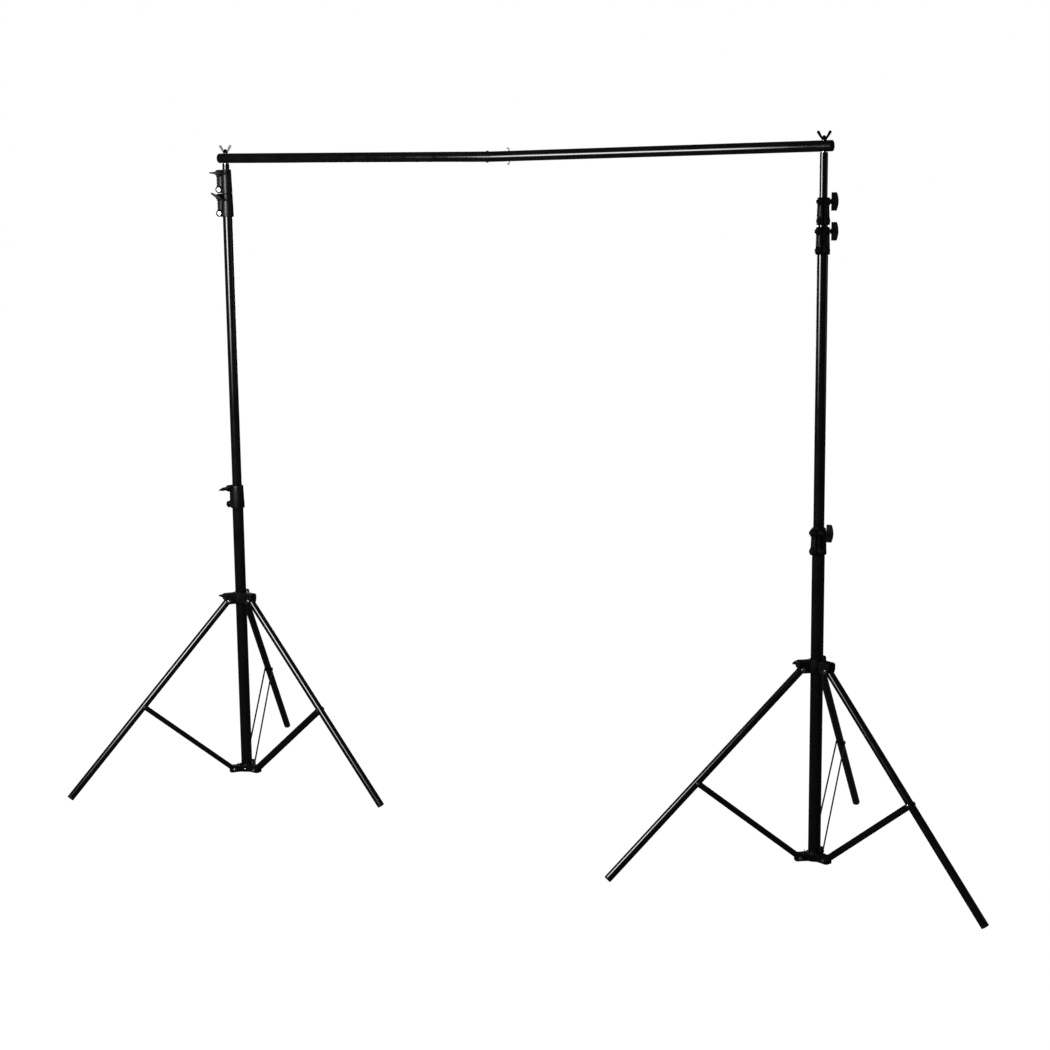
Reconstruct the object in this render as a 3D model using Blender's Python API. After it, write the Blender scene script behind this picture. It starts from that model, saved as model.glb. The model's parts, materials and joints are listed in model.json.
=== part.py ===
"""Backdrop support: two folding three-section light stands that carry a two-piece round crossbar.

Each stand has a base column, three telescoping risers with split clamp collars, and three tube legs
that fold against the column as the leg hub slides up. The crossbar drops over a threaded stud on each
stand and a wing nut holds it down. Metres, +Z up, crossbar along X, floor at Z = 0.
"""

import math

import bmesh
import bpy
from mathutils import Matrix, Vector

MM = 0.001
GAP = 0.3 * MM           # clearance between touching pieces
TUBE_SIDES = 20
SMALL_SIDES = 10

# Crossbar
STUD_SPACING = 1950 * MM
BAR_LENGTH = 2000 * MM
BAR_AXIS_HEIGHT = 2000 * MM
BAR_RADIUS = 15 * MM
BAR_WALL = 1.3 * MM
BAR_SEAM_X = -30 * MM
BAR_SEAM_SAG = 11 * MM
SLEEVE_RADIUS = 12.4 * MM
SLEEVE_WALL = 1.2 * MM
SLEEVE_LENGTH = 150 * MM
RIVET_X = -43 * MM
CLIP_X = 28 * MM
RIVET_RADIUS = 2.5 * MM
CLIP_RADIUS = 1.4 * MM
CLIP_STAND_OFF = 5 * MM
CLIP_CURL = 3.2 * MM

# Telescoping columns: outer radius and wall of the base column and of each riser
TUBE_RADII = (17.5 * MM, 15 * MM, 13 * MM, 11 * MM)
TUBE_WALLS = (1.3 * MM, 1.2 * MM, 1.1 * MM, 1.1 * MM)
RISER_LENGTHS = (967 * MM, 940 * MM, 920 * MM)
BUSH_LENGTH = 28 * MM

# Clamp collars, one on top of the base column and of the first two risers
COLLAR_HEIGHT = 73 * MM
COLLAR_STEP = 36.5 * MM
COLLAR_WALL = 4.7 * MM
EAR_REACH = 31 * MM
EAR_HALF_WIDTH = 8 * MM
SLOT_WIDTH = 3 * MM
BOLT_OFFSET = 22.5 * MM
BOLT_INSET = 11 * MM
BOSS_RADIUS = 10.5 * MM
BOSS_HALF_WIDTHS = (20 * MM, 18.5 * MM, 16.5 * MM)
BOLT_RADIUS = 3 * MM
BOLT_HOLE_RADIUS = 3.4 * MM

# T-handle of a clamp bolt
HANDLE_SPAN = 49 * MM
HANDLE_DEPTH = 19 * MM
HANDLE_ROOT = 5.5 * MM
HANDLE_TIP = 1.8 * MM
STEM_RADIUS = 6.5 * MM
STEM_LENGTH = 3 * MM

# Stand: positions of the collars' lower faces above the hub that the braces hang on
LEG_LENGTH = 793 * MM
LEG_RADIUS = 11 * MM
LEG_WALL = 1.2 * MM
LEG_HEAD = 9 * MM
LEG_PIVOT_RADIUS = 43 * MM
LEG_TO_BRACE = 428 * MM
BRACE_LENGTH = 376 * MM
BRACE_PIVOT_RADIUS = 45 * MM
COLUMN_TOP_ABOVE_PIVOT = 936.5 * MM
FOOT_FLAT_DEPTH = 1.6 * MM
FOOT_THICKNESS = 5 * MM
FOLDED_LEG_ANGLE = math.radians(2)

# Leg hub
HUB_BELOW = 10 * MM
HUB_ABOVE = 24 * MM
HUB_SLEEVE_RADIUS = 24 * MM
HUB_LOBE_REACH = 58 * MM
HUB_LOBE_HALF_WIDTH = 15 * MM
HUB_SLOT_HALF_WIDTH = 11.6 * MM
HUB_ROOF = 4 * MM
HUB_END_WALL = 3 * MM
HUB_END_CLEAR = 4.5 * MM
HUB_WEB_RADIUS = 27 * MM
PIVOT_PIN_RADIUS = 4 * MM
LOCK_AZIMUTH = math.radians(-46)
LOCK_HEIGHT = 7 * MM
LOCK_BOSS_END = 42 * MM
LOCK_BOSS_RADIUS = 8 * MM

# Lower hub
FOOT_HUB_HALF_HEIGHT = 10 * MM
FOOT_HUB_REACH = 57 * MM
FOOT_HUB_LOBE_HALF_WIDTH = 13.4 * MM
FOOT_HUB_WEB_RADIUS = 26 * MM
LUG_RADIUS = 29 * MM
LUG_HEIGHT = 13 * MM

# Braces
STRIP_WIDTH = 14 * MM
STRIP_THICKNESS = 1.6 * MM
STRIP_INNER_TOP = 11.7 * MM
STRIP_INNER_BOTTOM = 13.9 * MM
BRACE_PIN_RADIUS = 3 * MM
BRACE_HEAD_RADIUS = 6 * MM
BRACE_HEAD_HEIGHT = 3 * MM

# Stud and wing nut
STUD_RADIUS = 4 * MM
STUD_HOLE_RADIUS = 4.5 * MM
FLANGE_RADIUS = 9.5 * MM
FLANGE_THICKNESS = 2 * MM
NUT_HEIGHT = 10 * MM
NUT_RADIUS = 7.5 * MM
NUT_TIP_OFFSET = 15.5 * MM
NUT_TIP_HEIGHT = 21 * MM
NUT_TIP_RADIUS = 4 * MM
NUT_WING_HALF_THICKNESS = 2 * MM

# What differs between the two stands as they are set up: the stand's place along the bar, how far the
# legs are spread from the column, the first leg's azimuth, how far each riser is drawn out of the collar
# below it, the azimuths and turns of the clamp bolts, from the lowest collar to the highest, and how far
# the hub's lock screw is backed off.
STANDS = {
    "left": {
        "x": -STUD_SPACING / 2,
        "spread": math.radians(42.2),
        "azimuth": math.radians(-128.4),
        "second_exposed": 0 * MM,
        "top_exposed": 17 * MM,
        "ears": [math.radians(a) for a in (166, -154, -154)],
        "turns": [math.radians(a) for a in (8, -36, -10)],
        "lock_turn": math.radians(6),
        "lock_backed_off": 5 * MM,
        "nut_turn": math.radians(20),
    },
    "right": {
        "x": STUD_SPACING / 2,
        "spread": math.radians(43.9),
        "azimuth": math.radians(-143.5),
        "second_exposed": 5 * MM,
        "top_exposed": 117 * MM,
        "ears": [math.radians(a) for a in (-78, -71, -68)],
        "turns": [math.radians(a) for a in (80, 86, 92)],
        "lock_turn": math.radians(0),
        "lock_backed_off": 0 * MM,
        "nut_turn": math.radians(12),
    },
}

FINISHES = {
    "black_enamel": ((0.012, 0.012, 0.013, 1), 0.22, 0.0),
    "black_casting": ((0.02, 0.02, 0.022, 1), 0.45, 0.0),
    "black_plastic": ((0.018, 0.018, 0.019, 1), 0.5, 0.0),
    "zinc_steel": ((0.62, 0.62, 0.6, 1), 0.3, 1.0),
    "die_cast": ((0.42, 0.42, 0.41, 1), 0.4, 1.0),
}


def clear_scene():
    for item in list(bpy.data.objects):
        bpy.data.objects.remove(item, do_unlink=True)


def material(name):
    found = bpy.data.materials.get(name)
    if found:
        return found
    colour, roughness, metallic = FINISHES[name]
    made = bpy.data.materials.new(name)
    made.use_nodes = True
    shader = made.node_tree.nodes["Principled BSDF"]
    shader.inputs["Base Color"].default_value = colour
    shader.inputs["Roughness"].default_value = roughness
    shader.inputs["Metallic"].default_value = metallic
    return made


def finished(bm, move=None):
    """The bmesh as a mesh whose faces point out, after an optional transform."""
    if move is not None:
        bm.transform(move)
    bmesh.ops.recalc_face_normals(bm, faces=bm.faces)
    mesh = bpy.data.meshes.new("shape")
    bm.to_mesh(mesh)
    bm.free()
    return mesh


def turned(profile, segments=TUBE_SIDES, ring=False, move=None):
    """A profile of (radius, z) points turned about Z. A ring's profile closes on itself."""
    bm = bmesh.new()
    rows = []
    for radius, z in profile:
        count = segments if radius > 0 else 1
        angles = [2 * math.pi * (i + 0.5) / segments for i in range(count)]
        rows.append([bm.verts.new((radius * math.cos(a), radius * math.sin(a), z)) for a in angles])
    pairs = list(zip(rows, rows[1:] + rows[:1] if ring else rows[1:]))
    for low, high in pairs:
        for i in range(segments):
            corners = [low[i % len(low)], low[(i + 1) % len(low)]]
            corners += [high[(i + 1) % len(high)], high[i % len(high)]]
            corners = list(dict.fromkeys(corners))
            if len(corners) > 2:
                bm.faces.new(corners)
    return finished(bm, move)


def rod(radius, low, high, segments=SMALL_SIDES, move=None):
    """A solid round bar along Z."""
    profile = [(0, low), (radius, low), (radius, high), (0, high)]
    return turned(profile, segments, move=move)


def tube(radius, wall, low, high, move=None):
    """A hollow round tube along Z."""
    inner = radius - wall
    profile = [(inner, low), (radius, low), (radius, high), (inner, high)]
    return turned(profile, ring=True, move=move)


def prism(outline, low, high, move=None):
    """An outline of (x, y) points extruded from low to high along Z."""
    bm = bmesh.new()
    base = [bm.verts.new((x, y, low)) for x, y in outline]
    top = [bm.verts.new((x, y, high)) for x, y in outline]
    bm.faces.new(base)
    bm.faces.new(top)
    for i, corner in enumerate(base):
        follows = (i + 1) % len(base)
        bm.faces.new([corner, base[follows], top[follows], top[i]])
    return finished(bm, move)


def block(x, y, z, move=None):
    """A box between the given pairs of limits."""
    outline = [(x[0], y[0]), (x[1], y[0]), (x[1], y[1]), (x[0], y[1])]
    return prism(outline, z[0], z[1], move)


def arc(centre, radius, start, end, steps):
    """Points on an arc, with angles in degrees."""
    angles = [math.radians(start + (end - start) * i / steps) for i in range(steps + 1)]
    return [(centre[0] + radius * math.cos(a), centre[1] + radius * math.sin(a)) for a in angles]


def boolean(mesh, operation, tools):
    """The mesh after joining or cutting it with each tool in turn."""
    carrier = bpy.data.objects.new("carrier", mesh)
    scratch = [carrier]
    for tool in tools:
        helper = bpy.data.objects.new("helper", tool)
        modifier = carrier.modifiers.new(operation, "BOOLEAN")
        modifier.operation = operation
        modifier.solver = "EXACT"
        modifier.object = helper
        scratch.append(helper)
    for item in scratch:
        bpy.context.scene.collection.objects.link(item)
    graph = bpy.context.evaluated_depsgraph_get()
    result = bpy.data.meshes.new_from_object(carrier.evaluated_get(graph))
    for item in scratch:
        bpy.data.objects.remove(item, do_unlink=True)
    return result


def union(mesh, *tools):
    return boolean(mesh, "UNION", tools)


def cut(mesh, *tools):
    return boolean(mesh, "DIFFERENCE", tools)


def add_empty(name, parent=None, location=(0, 0, 0), rotation=(0, 0, 0)):
    item = bpy.data.objects.new(name, None)
    item.empty_display_size = 0.05
    item.parent = parent
    item.location = location
    item.rotation_euler = rotation
    bpy.context.scene.collection.objects.link(item)
    return item


def add_part(name, mesh, finish, parent, location=(0, 0, 0), rotation=(0, 0, 0)):
    """A named object that shows the mesh, smooth except at sharp edges."""
    if not mesh.materials:
        mesh.materials.append(material(finish))
    mesh.materials[0] = material(finish)
    mesh.shade_smooth()
    mesh.set_sharp_from_angle(angle=math.radians(35))
    item = bpy.data.objects.new(name, mesh)
    item.parent = parent
    item.location = location
    item.rotation_euler = rotation
    bpy.context.scene.collection.objects.link(item)
    return item


ALONG_X = Matrix.Rotation(math.pi / 2, 4, "Y")
ALONG_Y = Matrix.Rotation(-math.pi / 2, 4, "X")
UPRIGHT = Matrix.Rotation(math.pi / 2, 4, "X")


def spoke(angle):
    return Matrix.Rotation(angle, 4, "Z")


def leg_azimuths():
    return [math.radians(120) * i for i in range(3)]


def lobed_outline(reach, half_width, web_radius, corner):
    """Plan of a three-lobed hub: blunt lobes with rounded corners, joined by hollow curves."""
    points = []
    side_start = web_radius + 6 * MM
    for azimuth in leg_azimuths():
        lobe = [(side_start, -half_width)]
        lobe += arc((reach - corner, -half_width + corner), corner, -90, 0, 3)
        lobe += arc((reach - corner, half_width - corner), corner, 0, 90, 3)
        lobe += [(side_start, half_width)]
        for shift in (35, 60, 85):
            angle = math.radians(shift)
            lobe.append((web_radius * math.cos(angle), web_radius * math.sin(angle)))
        turn = spoke(azimuth)
        for x, y in lobe:
            place = turn @ Vector((x, y, 0))
            points.append((place.x, place.y))
    return points


def hub_mesh():
    """Sliding leg hub: three forks, open below, with a boss for the lock screw."""
    outline = lobed_outline(HUB_LOBE_REACH, HUB_LOBE_HALF_WIDTH, HUB_WEB_RADIUS, 6 * MM)
    edge = 2.5 * MM
    body = prism(outline, -HUB_BELOW, HUB_ABOVE)
    bm = bmesh.new()
    bm.from_mesh(body)
    rim = [e for e in bm.edges if all(v.co.z > HUB_ABOVE - GAP for v in e.verts)]
    bmesh.ops.bevel(bm, geom=rim, offset=edge, segments=1, affect="EDGES")
    body = finished(bm)
    lock_turn = spoke(LOCK_AZIMUTH) @ Matrix.Translation((0, 0, LOCK_HEIGHT)) @ ALONG_X
    body = union(body, rod(LOCK_BOSS_RADIUS, 20 * MM, LOCK_BOSS_END, 12, move=lock_turn))
    tools = [rod(TUBE_RADII[0] + GAP, -HUB_BELOW - MM, HUB_ABOVE + MM, TUBE_SIDES)]
    tools.append(rod(BOLT_HOLE_RADIUS, 0, LOCK_BOSS_END + MM, move=lock_turn))
    swing = [(LEG_PIVOT_RADIUS - 0.5 * MM, -HUB_BELOW - MM)]
    swing += arc((LEG_PIVOT_RADIUS, 0), HUB_BELOW, -88, -12, 3)
    end_wall = HUB_LOBE_REACH - HUB_END_WALL - MM
    swing += [(end_wall, HUB_END_CLEAR), (HUB_LOBE_REACH + MM, HUB_END_CLEAR)]
    swing.append((HUB_LOBE_REACH + MM, -HUB_BELOW - MM))
    for azimuth in leg_azimuths():
        turn = spoke(azimuth)
        slot_x = (HUB_SLEEVE_RADIUS + 0.5 * MM, HUB_LOBE_REACH - HUB_END_WALL)
        slot_y = (-HUB_SLOT_HALF_WIDTH, HUB_SLOT_HALF_WIDTH)
        tools.append(block(slot_x, slot_y, (-HUB_BELOW - MM, HUB_ABOVE - HUB_ROOF), turn))
        pin_hole = turn @ Matrix.Translation((LEG_PIVOT_RADIUS, 0, 0)) @ ALONG_Y
        tools.append(rod(PIVOT_PIN_RADIUS + GAP, -20 * MM, 20 * MM, 12, move=pin_hole))
        tools.append(prism(swing, -20 * MM, 20 * MM, turn @ UPRIGHT))
    return cut(body, *tools)


def foot_hub_mesh():
    """Lower hub fixed to the column: a lobe for each brace and a pointed stop lug beside it."""
    half = FOOT_HUB_HALF_HEIGHT
    outline = lobed_outline(FOOT_HUB_REACH, FOOT_HUB_LOBE_HALF_WIDTH, FOOT_HUB_WEB_RADIUS, 7 * MM)
    body = prism(outline, -half, half)
    collar = rod(TUBE_RADII[0] + 3.5 * MM, -half + MM, half + 3 * MM, TUBE_SIDES)
    lugs = []
    tools = [rod(TUBE_RADII[0] + GAP, -half - MM, half + 10 * MM, TUBE_SIDES)]
    lug = [(LUG_RADIUS - 3 * MM, 0), (LUG_RADIUS + 3 * MM, 0), (LUG_RADIUS, half + LUG_HEIGHT)]
    for azimuth in leg_azimuths():
        turn = spoke(azimuth)
        lugs.append(prism(lug, -2 * MM, 2 * MM, turn @ UPRIGHT))
        pin_hole = turn @ Matrix.Translation((BRACE_PIVOT_RADIUS, 0, 0)) @ ALONG_Y
        tools.append(rod(BRACE_PIN_RADIUS + GAP, -20 * MM, 20 * MM, move=pin_hole))
    return cut(union(body, collar, *lugs), *tools)


def collar_mesh(level):
    """Split clamp collar. The lower half sits on one tube, the upper half grips the next one."""
    below, above = TUBE_RADII[level], TUBE_RADII[level + 1]
    boss_half = BOSS_HALF_WIDTHS[level]
    profile = [(0, 0), (below + COLLAR_WALL, 0), (above + COLLAR_WALL, COLLAR_HEIGHT - 1.5 * MM)]
    profile += [(above + COLLAR_WALL - 1.5 * MM, COLLAR_HEIGHT), (0, COLLAR_HEIGHT)]
    sleeve = turned(profile)
    top, bottom = COLLAR_HEIGHT - BOLT_INSET, BOLT_INSET
    plate = [(0, 3 * MM), (BOLT_OFFSET, 3 * MM), (EAR_REACH, bottom)]
    plate += [(EAR_REACH - MM, COLLAR_HEIGHT / 2), (EAR_REACH, top)]
    plate += [(BOLT_OFFSET, COLLAR_HEIGHT - 3 * MM), (0, COLLAR_HEIGHT - 3 * MM)]
    ear = prism(plate, -EAR_HALF_WIDTH, EAR_HALF_WIDTH, UPRIGHT)
    bosses, holes = [], []
    for height in (top, bottom):
        across = Matrix.Translation((BOLT_OFFSET, 0, height)) @ ALONG_Y
        bosses.append(rod(BOSS_RADIUS, -boss_half, boss_half, 12, move=across))
        holes.append(rod(BOLT_HOLE_RADIUS, -30 * MM, 30 * MM, move=across))
    body = union(sleeve, ear, *bosses)
    tools = [rod(below + GAP, -MM, COLLAR_STEP, TUBE_SIDES)]
    tools.append(rod(above + GAP, 0, COLLAR_HEIGHT + MM, TUBE_SIDES))
    half_slot = SLOT_WIDTH / 2
    tools.append(block((0, EAR_REACH + 9 * MM), (-half_slot, half_slot), (-MM, COLLAR_HEIGHT + MM)))
    return cut(body, *tools, *holes)


def handle_outline(span, root, tip):
    """Face of a T-handle: thick in the middle, swept a little, tapering to round tips."""
    half = span / 2
    upper, lower = [], []
    steps = 6
    for i in range(steps + 1):
        along = -half + tip + (span - 2 * tip) * i / steps
        share = abs(along) / half
        thick = tip + (root - tip) * (1 - share) ** 1.5
        sweep = 2.5 * MM * math.sin(math.pi * along / span)
        upper.append((along, sweep + thick))
        lower.append((along, sweep - thick))
    tips = arc((half - tip, (upper[-1][1] + lower[-1][1]) / 2), tip, 60, -60, 2)
    back = arc((-half + tip, (upper[0][1] + lower[0][1]) / 2), tip, -120, -240, 2)
    return upper + tips + lower[::-1] + back


def t_handle_mesh(bolt_start, stem_start, span=HANDLE_SPAN):
    """T-handle with its bolt. The bolt runs along +Z and the handle's back is curved outward."""
    face = handle_outline(span, HANDLE_ROOT, HANDLE_TIP)
    base = stem_start + STEM_LENGTH
    handle = prism(face, base, base + HANDLE_DEPTH)
    radius = 1.35 * span
    dome = rod(radius, -20 * MM, 20 * MM, 60)
    dome.transform(Matrix.Translation((0, 0, base + HANDLE_DEPTH - radius)) @ ALONG_Y)
    handle = boolean(handle, "INTERSECT", [dome])
    stem = rod(STEM_RADIUS, stem_start, base + 4 * MM, 12)
    bolt = rod(BOLT_RADIUS, bolt_start, stem_start + 2 * MM)
    return union(handle, stem, bolt)


def leg_mesh():
    """Leg tube hanging down from its pivot pin, which is fixed in it."""
    inner = LEG_RADIUS - LEG_WALL
    end = LEG_LENGTH - FOOT_THICKNESS
    profile = [(0, LEG_HEAD - 2 * MM), (inner, LEG_HEAD - 2 * MM), (inner, -end)]
    profile += [(LEG_RADIUS, -end), (LEG_RADIUS, LEG_HEAD), (0, LEG_HEAD)]
    pin_half = HUB_LOBE_HALF_WIDTH + GAP
    pin = rod(PIVOT_PIN_RADIUS, -pin_half - MM, pin_half + MM, 12)
    heads = [rod(7 * MM, pin_half, pin_half + 3 * MM, 6)]
    heads.append(rod(6.5 * MM, -pin_half - 3 * MM, -pin_half, 6))
    bolt = union(pin, *heads)
    bolt.transform(ALONG_Y)
    return union(turned(profile), bolt)


def foot_mesh(hub_height, spread):
    """End plug of a leg, cut off level where it meets the floor."""
    stem = LEG_RADIUS - LEG_WALL - GAP
    top = -(LEG_LENGTH - FOOT_THICKNESS) - GAP
    profile = [(0, top + 20 * MM), (stem, top + 20 * MM), (stem, top)]
    profile += [(LEG_RADIUS, top), (LEG_RADIUS, -LEG_LENGTH), (0, -LEG_LENGTH)]
    bm = bmesh.new()
    bm.from_mesh(turned(profile))
    floor_point = (0, 0, -hub_height / math.cos(spread))
    floor_normal = (-math.sin(spread), 0, -math.cos(spread))
    whole = bm.verts[:] + bm.edges[:] + bm.faces[:]
    sliced = bmesh.ops.bisect_plane(
        bm, geom=whole, plane_co=floor_point, plane_no=floor_normal, clear_outer=True
    )
    seam = [item for item in sliced["geom_cut"] if isinstance(item, bmesh.types.BMEdge)]
    bmesh.ops.holes_fill(bm, edges=seam)
    return finished(bm)


def brace_mesh():
    """A pair of flat strips, standing up from the pin that joins them at the lower hub."""
    half = STRIP_WIDTH / 2
    outline = arc((0, 0), half, 180, 360, 4) + arc((0, BRACE_LENGTH), half, 0, 180, 4)
    lean = (STRIP_INNER_TOP - STRIP_INNER_BOTTOM) / BRACE_LENGTH
    shapes = []
    for side in (-1, 1):
        inner, outer = STRIP_INNER_BOTTOM, STRIP_INNER_BOTTOM + STRIP_THICKNESS
        strip = prism(outline, min(side * inner, side * outer), max(side * inner, side * outer), UPRIGHT)
        for vertex in strip.vertices:
            vertex.co.y -= side * lean * vertex.co.z
        shapes.append(strip)
        low = STRIP_INNER_BOTTOM + STRIP_THICKNESS - MM
        head = rod(BRACE_HEAD_RADIUS, low, low + MM + BRACE_HEAD_HEIGHT, 6)
        head.transform(Matrix.Rotation(-side * math.pi / 2, 4, "X"))
        shapes.append(head)
        low = STRIP_INNER_TOP + STRIP_THICKNESS / 2
        rivet = rod(5 * MM, low, low + STRIP_THICKNESS / 2 + 2 * MM, 8)
        place = Matrix.Translation((0, 0, BRACE_LENGTH)) @ Matrix.Rotation(-side * math.pi / 2, 4, "X")
        rivet.transform(place)
        shapes.append(rivet)
    pin_half = STRIP_INNER_BOTTOM + 0.8 * STRIP_THICKNESS
    pin = rod(BRACE_PIN_RADIUS, -pin_half, pin_half, move=ALONG_Y)
    return union(pin, *shapes)


def riser_mesh(level, length):
    """Riser tube standing on Z = 0 with its guide bush around the lower end."""
    radius, wall = TUBE_RADII[level], TUBE_WALLS[level]
    bush = TUBE_RADII[level - 1] - TUBE_WALLS[level - 1] - GAP
    inner = radius - wall
    profile = [(inner, 0), (bush, 0), (bush, BUSH_LENGTH)]
    profile += [(radius, BUSH_LENGTH), (radius, length), (inner, length)]
    return turned(profile, ring=True)


def stud_mesh():
    """Threaded stud, measured from the underside of the bar: flange, plug and shank."""
    plug = TUBE_RADII[3] - TUBE_WALLS[3] - GAP
    top = 2 * BAR_RADIUS + NUT_HEIGHT + 3 * MM
    low = -FLANGE_THICKNESS - GAP
    profile = [(0, low - 25 * MM), (plug, low - 25 * MM), (plug, low)]
    profile += [(FLANGE_RADIUS, low), (FLANGE_RADIUS, -GAP), (STUD_RADIUS, -GAP)]
    profile += [(STUD_RADIUS, top), (0, top)]
    return turned(profile, 16)


def wing_nut_mesh():
    """Die-cast wing nut standing on Z = 0, with both wings spread along X."""
    profile = [(STUD_RADIUS + GAP, 0), (NUT_RADIUS, 0), (NUT_RADIUS, 2 * MM)]
    profile += [(NUT_RADIUS - 2 * MM, NUT_HEIGHT), (STUD_RADIUS + GAP, NUT_HEIGHT)]
    body = turned(profile, 14, ring=True)
    tip = (NUT_TIP_OFFSET, NUT_TIP_HEIGHT)
    wing = [(STUD_RADIUS + 1.6 * MM, 1.5 * MM), (NUT_RADIUS + 2 * MM, 5 * MM)]
    wing += arc(tip, NUT_TIP_RADIUS, -30, 150, 5)
    wing += [(STUD_RADIUS + 1.6 * MM, NUT_HEIGHT - MM)]
    wings = []
    for side in (0, math.pi):
        turn = spoke(side) @ UPRIGHT
        wings.append(prism(wing, -NUT_WING_HALF_THICKNESS, NUT_WING_HALF_THICKNESS, turn))
    return union(body, *wings)


def plug_mesh(radius, wall, dome):
    """End plug for a tube that ends at Z = 0: a stem down the tube and a rounded cap above it."""
    stem = radius - wall - GAP
    profile = [(0, -15 * MM), (stem, -15 * MM), (stem, GAP), (radius, GAP)]
    profile += [(radius, GAP + 0.4 * dome), (radius - 0.7 * dome, GAP + dome), (0, GAP + dome)]
    return turned(profile)


def stand_heights(stand):
    """Heights of a stand's pivots and collars above the floor, from its leg spread."""
    spread = stand["spread"]
    hub = LEG_LENGTH * math.cos(spread) + LEG_RADIUS * math.sin(spread) - FOOT_FLAT_DEPTH
    reach = LEG_PIVOT_RADIUS + LEG_TO_BRACE * math.sin(spread) - BRACE_PIVOT_RADIUS
    foot_hub = hub - LEG_TO_BRACE * math.cos(spread) - math.sqrt(BRACE_LENGTH**2 - reach**2)
    riser_top = BAR_AXIS_HEIGHT - BAR_RADIUS - FLANGE_THICKNESS - 2 * GAP
    third = riser_top - stand["top_exposed"] - COLLAR_HEIGHT
    second = third - GAP - stand["second_exposed"] - COLLAR_HEIGHT
    first = foot_hub + COLUMN_TOP_ABOVE_PIVOT - COLLAR_HEIGHT
    return {
        "hub": hub,
        "foot_hub": foot_hub,
        "brace_angle": math.asin(reach / BRACE_LENGTH),
        "collars": (first, second, third),
        "riser_top": riser_top,
    }


def build_stand(side, stand, root, shapes):
    heights = stand_heights(stand)
    place = add_empty(f"{side}_stand", root, (stand["x"], 0, 0))
    azimuth = stand["azimuth"]
    column_low = heights["foot_hub"] - FOOT_HUB_HALF_HEIGHT + 2 * MM
    column_high = heights["collars"][0] + COLLAR_STEP - GAP
    column = tube(TUBE_RADII[0], TUBE_WALLS[0], 0, column_high - column_low)
    add_part(f"{side}_base_column", column, "black_enamel", place, (0, 0, column_low))
    flip = (math.pi, 0, 0)
    add_part(f"{side}_column_plug", shapes["column_plug"], "black_plastic", place, (0, 0, column_low), flip)
    hub_place = (0, 0, heights["hub"])
    level_turn = (0, 0, azimuth)
    add_part(f"{side}_leg_hub", shapes["hub"], "black_casting", place, hub_place, level_turn)
    foot_hub_place = (0, 0, heights["foot_hub"])
    add_part(f"{side}_lower_hub", shapes["foot_hub"], "black_casting", place, foot_hub_place, level_turn)
    lock_axis = add_empty(f"{side}_lock_axis", place, (0, 0, heights["hub"] + LOCK_HEIGHT))
    lock_axis.rotation_euler = (0, math.pi / 2, azimuth + LOCK_AZIMUTH)
    turn = (0, 0, math.pi / 2 + stand["lock_turn"])
    out = (0, 0, stand["lock_backed_off"])
    add_part(f"{side}_hub_knob", shapes["lock"], "black_plastic", lock_axis, out, turn)
    foot = foot_mesh(heights["hub"], stand["spread"])
    for i, offset in enumerate(leg_azimuths(), 1):
        leg_axis = add_empty(f"{side}_leg_axis_{i}", place, hub_place, (0, 0, azimuth + offset))
        at_pivot = (LEG_PIVOT_RADIUS, 0, 0)
        leaning = (0, -stand["spread"], 0)
        add_part(f"{side}_leg_{i}", shapes["leg"], "black_enamel", leg_axis, at_pivot, leaning)
        add_part(f"{side}_foot_{i}", foot, "black_plastic", leg_axis, at_pivot, leaning)
        brace_axis = add_empty(f"{side}_brace_axis_{i}", place, foot_hub_place, (0, 0, azimuth + offset))
        at_pivot = (BRACE_PIVOT_RADIUS, 0, 0)
        leaning = (0, heights["brace_angle"], 0)
        add_part(f"{side}_brace_{i}", shapes["brace"], "black_enamel", brace_axis, at_pivot, leaning)
    tops = [z + COLLAR_STEP - GAP for z in heights["collars"][1:]] + [heights["riser_top"]]
    for level in range(3):
        low = heights["collars"][level]
        ear = stand["ears"][level]
        number = level + 1
        name = f"{side}_collar_{number}"
        add_part(name, shapes["collars"][level], "black_casting", place, (0, 0, low), (0, 0, ear))
        bolt_axis = add_empty(f"{side}_bolt_axis_{number}", place, (0, 0, low + COLLAR_HEIGHT - BOLT_INSET))
        bolt_axis.rotation_euler = (0, 0, ear)
        spindle = add_empty(f"{side}_spindle_{number}", bolt_axis, (BOLT_OFFSET, 0, 0), (-math.pi / 2, 0, 0))
        turn = (0, 0, stand["turns"][level])
        name = f"{side}_clamp_handle_{number}"
        add_part(name, shapes["handles"][level], "black_plastic", spindle, (0, 0, 0), turn)
        length = RISER_LENGTHS[level]
        riser = shapes["risers"][level]
        add_part(f"{side}_riser_{number}", riser, "black_enamel", place, (0, 0, tops[level] - length))
    bar_low = BAR_AXIS_HEIGHT - BAR_RADIUS
    add_part(f"{side}_stud", shapes["stud"], "zinc_steel", place, (0, 0, bar_low))
    nut_place = (0, 0, BAR_AXIS_HEIGHT + BAR_RADIUS + GAP)
    turn = (0, 0, stand["nut_turn"])
    add_part(f"{side}_wing_nut", shapes["wing_nut"], "die_cast", place, nut_place, turn)


def bar_half_mesh(outer_end, inner_end, stud_x, hole_x, hole_radius):
    """Half of the crossbar along X, with a hole for the stud and one for the joint's fastener."""
    low, high = min(outer_end, inner_end), max(outer_end, inner_end)
    holes = [rod(STUD_HOLE_RADIUS, -20 * MM, 20 * MM, 12, move=Matrix.Translation((stud_x, 0, 0)))]
    holes.append(rod(hole_radius, -20 * MM, 20 * MM, move=Matrix.Translation((hole_x, 0, 0))))
    return cut(tube(BAR_RADIUS, BAR_WALL, low, high, ALONG_X), *holes)


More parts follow.
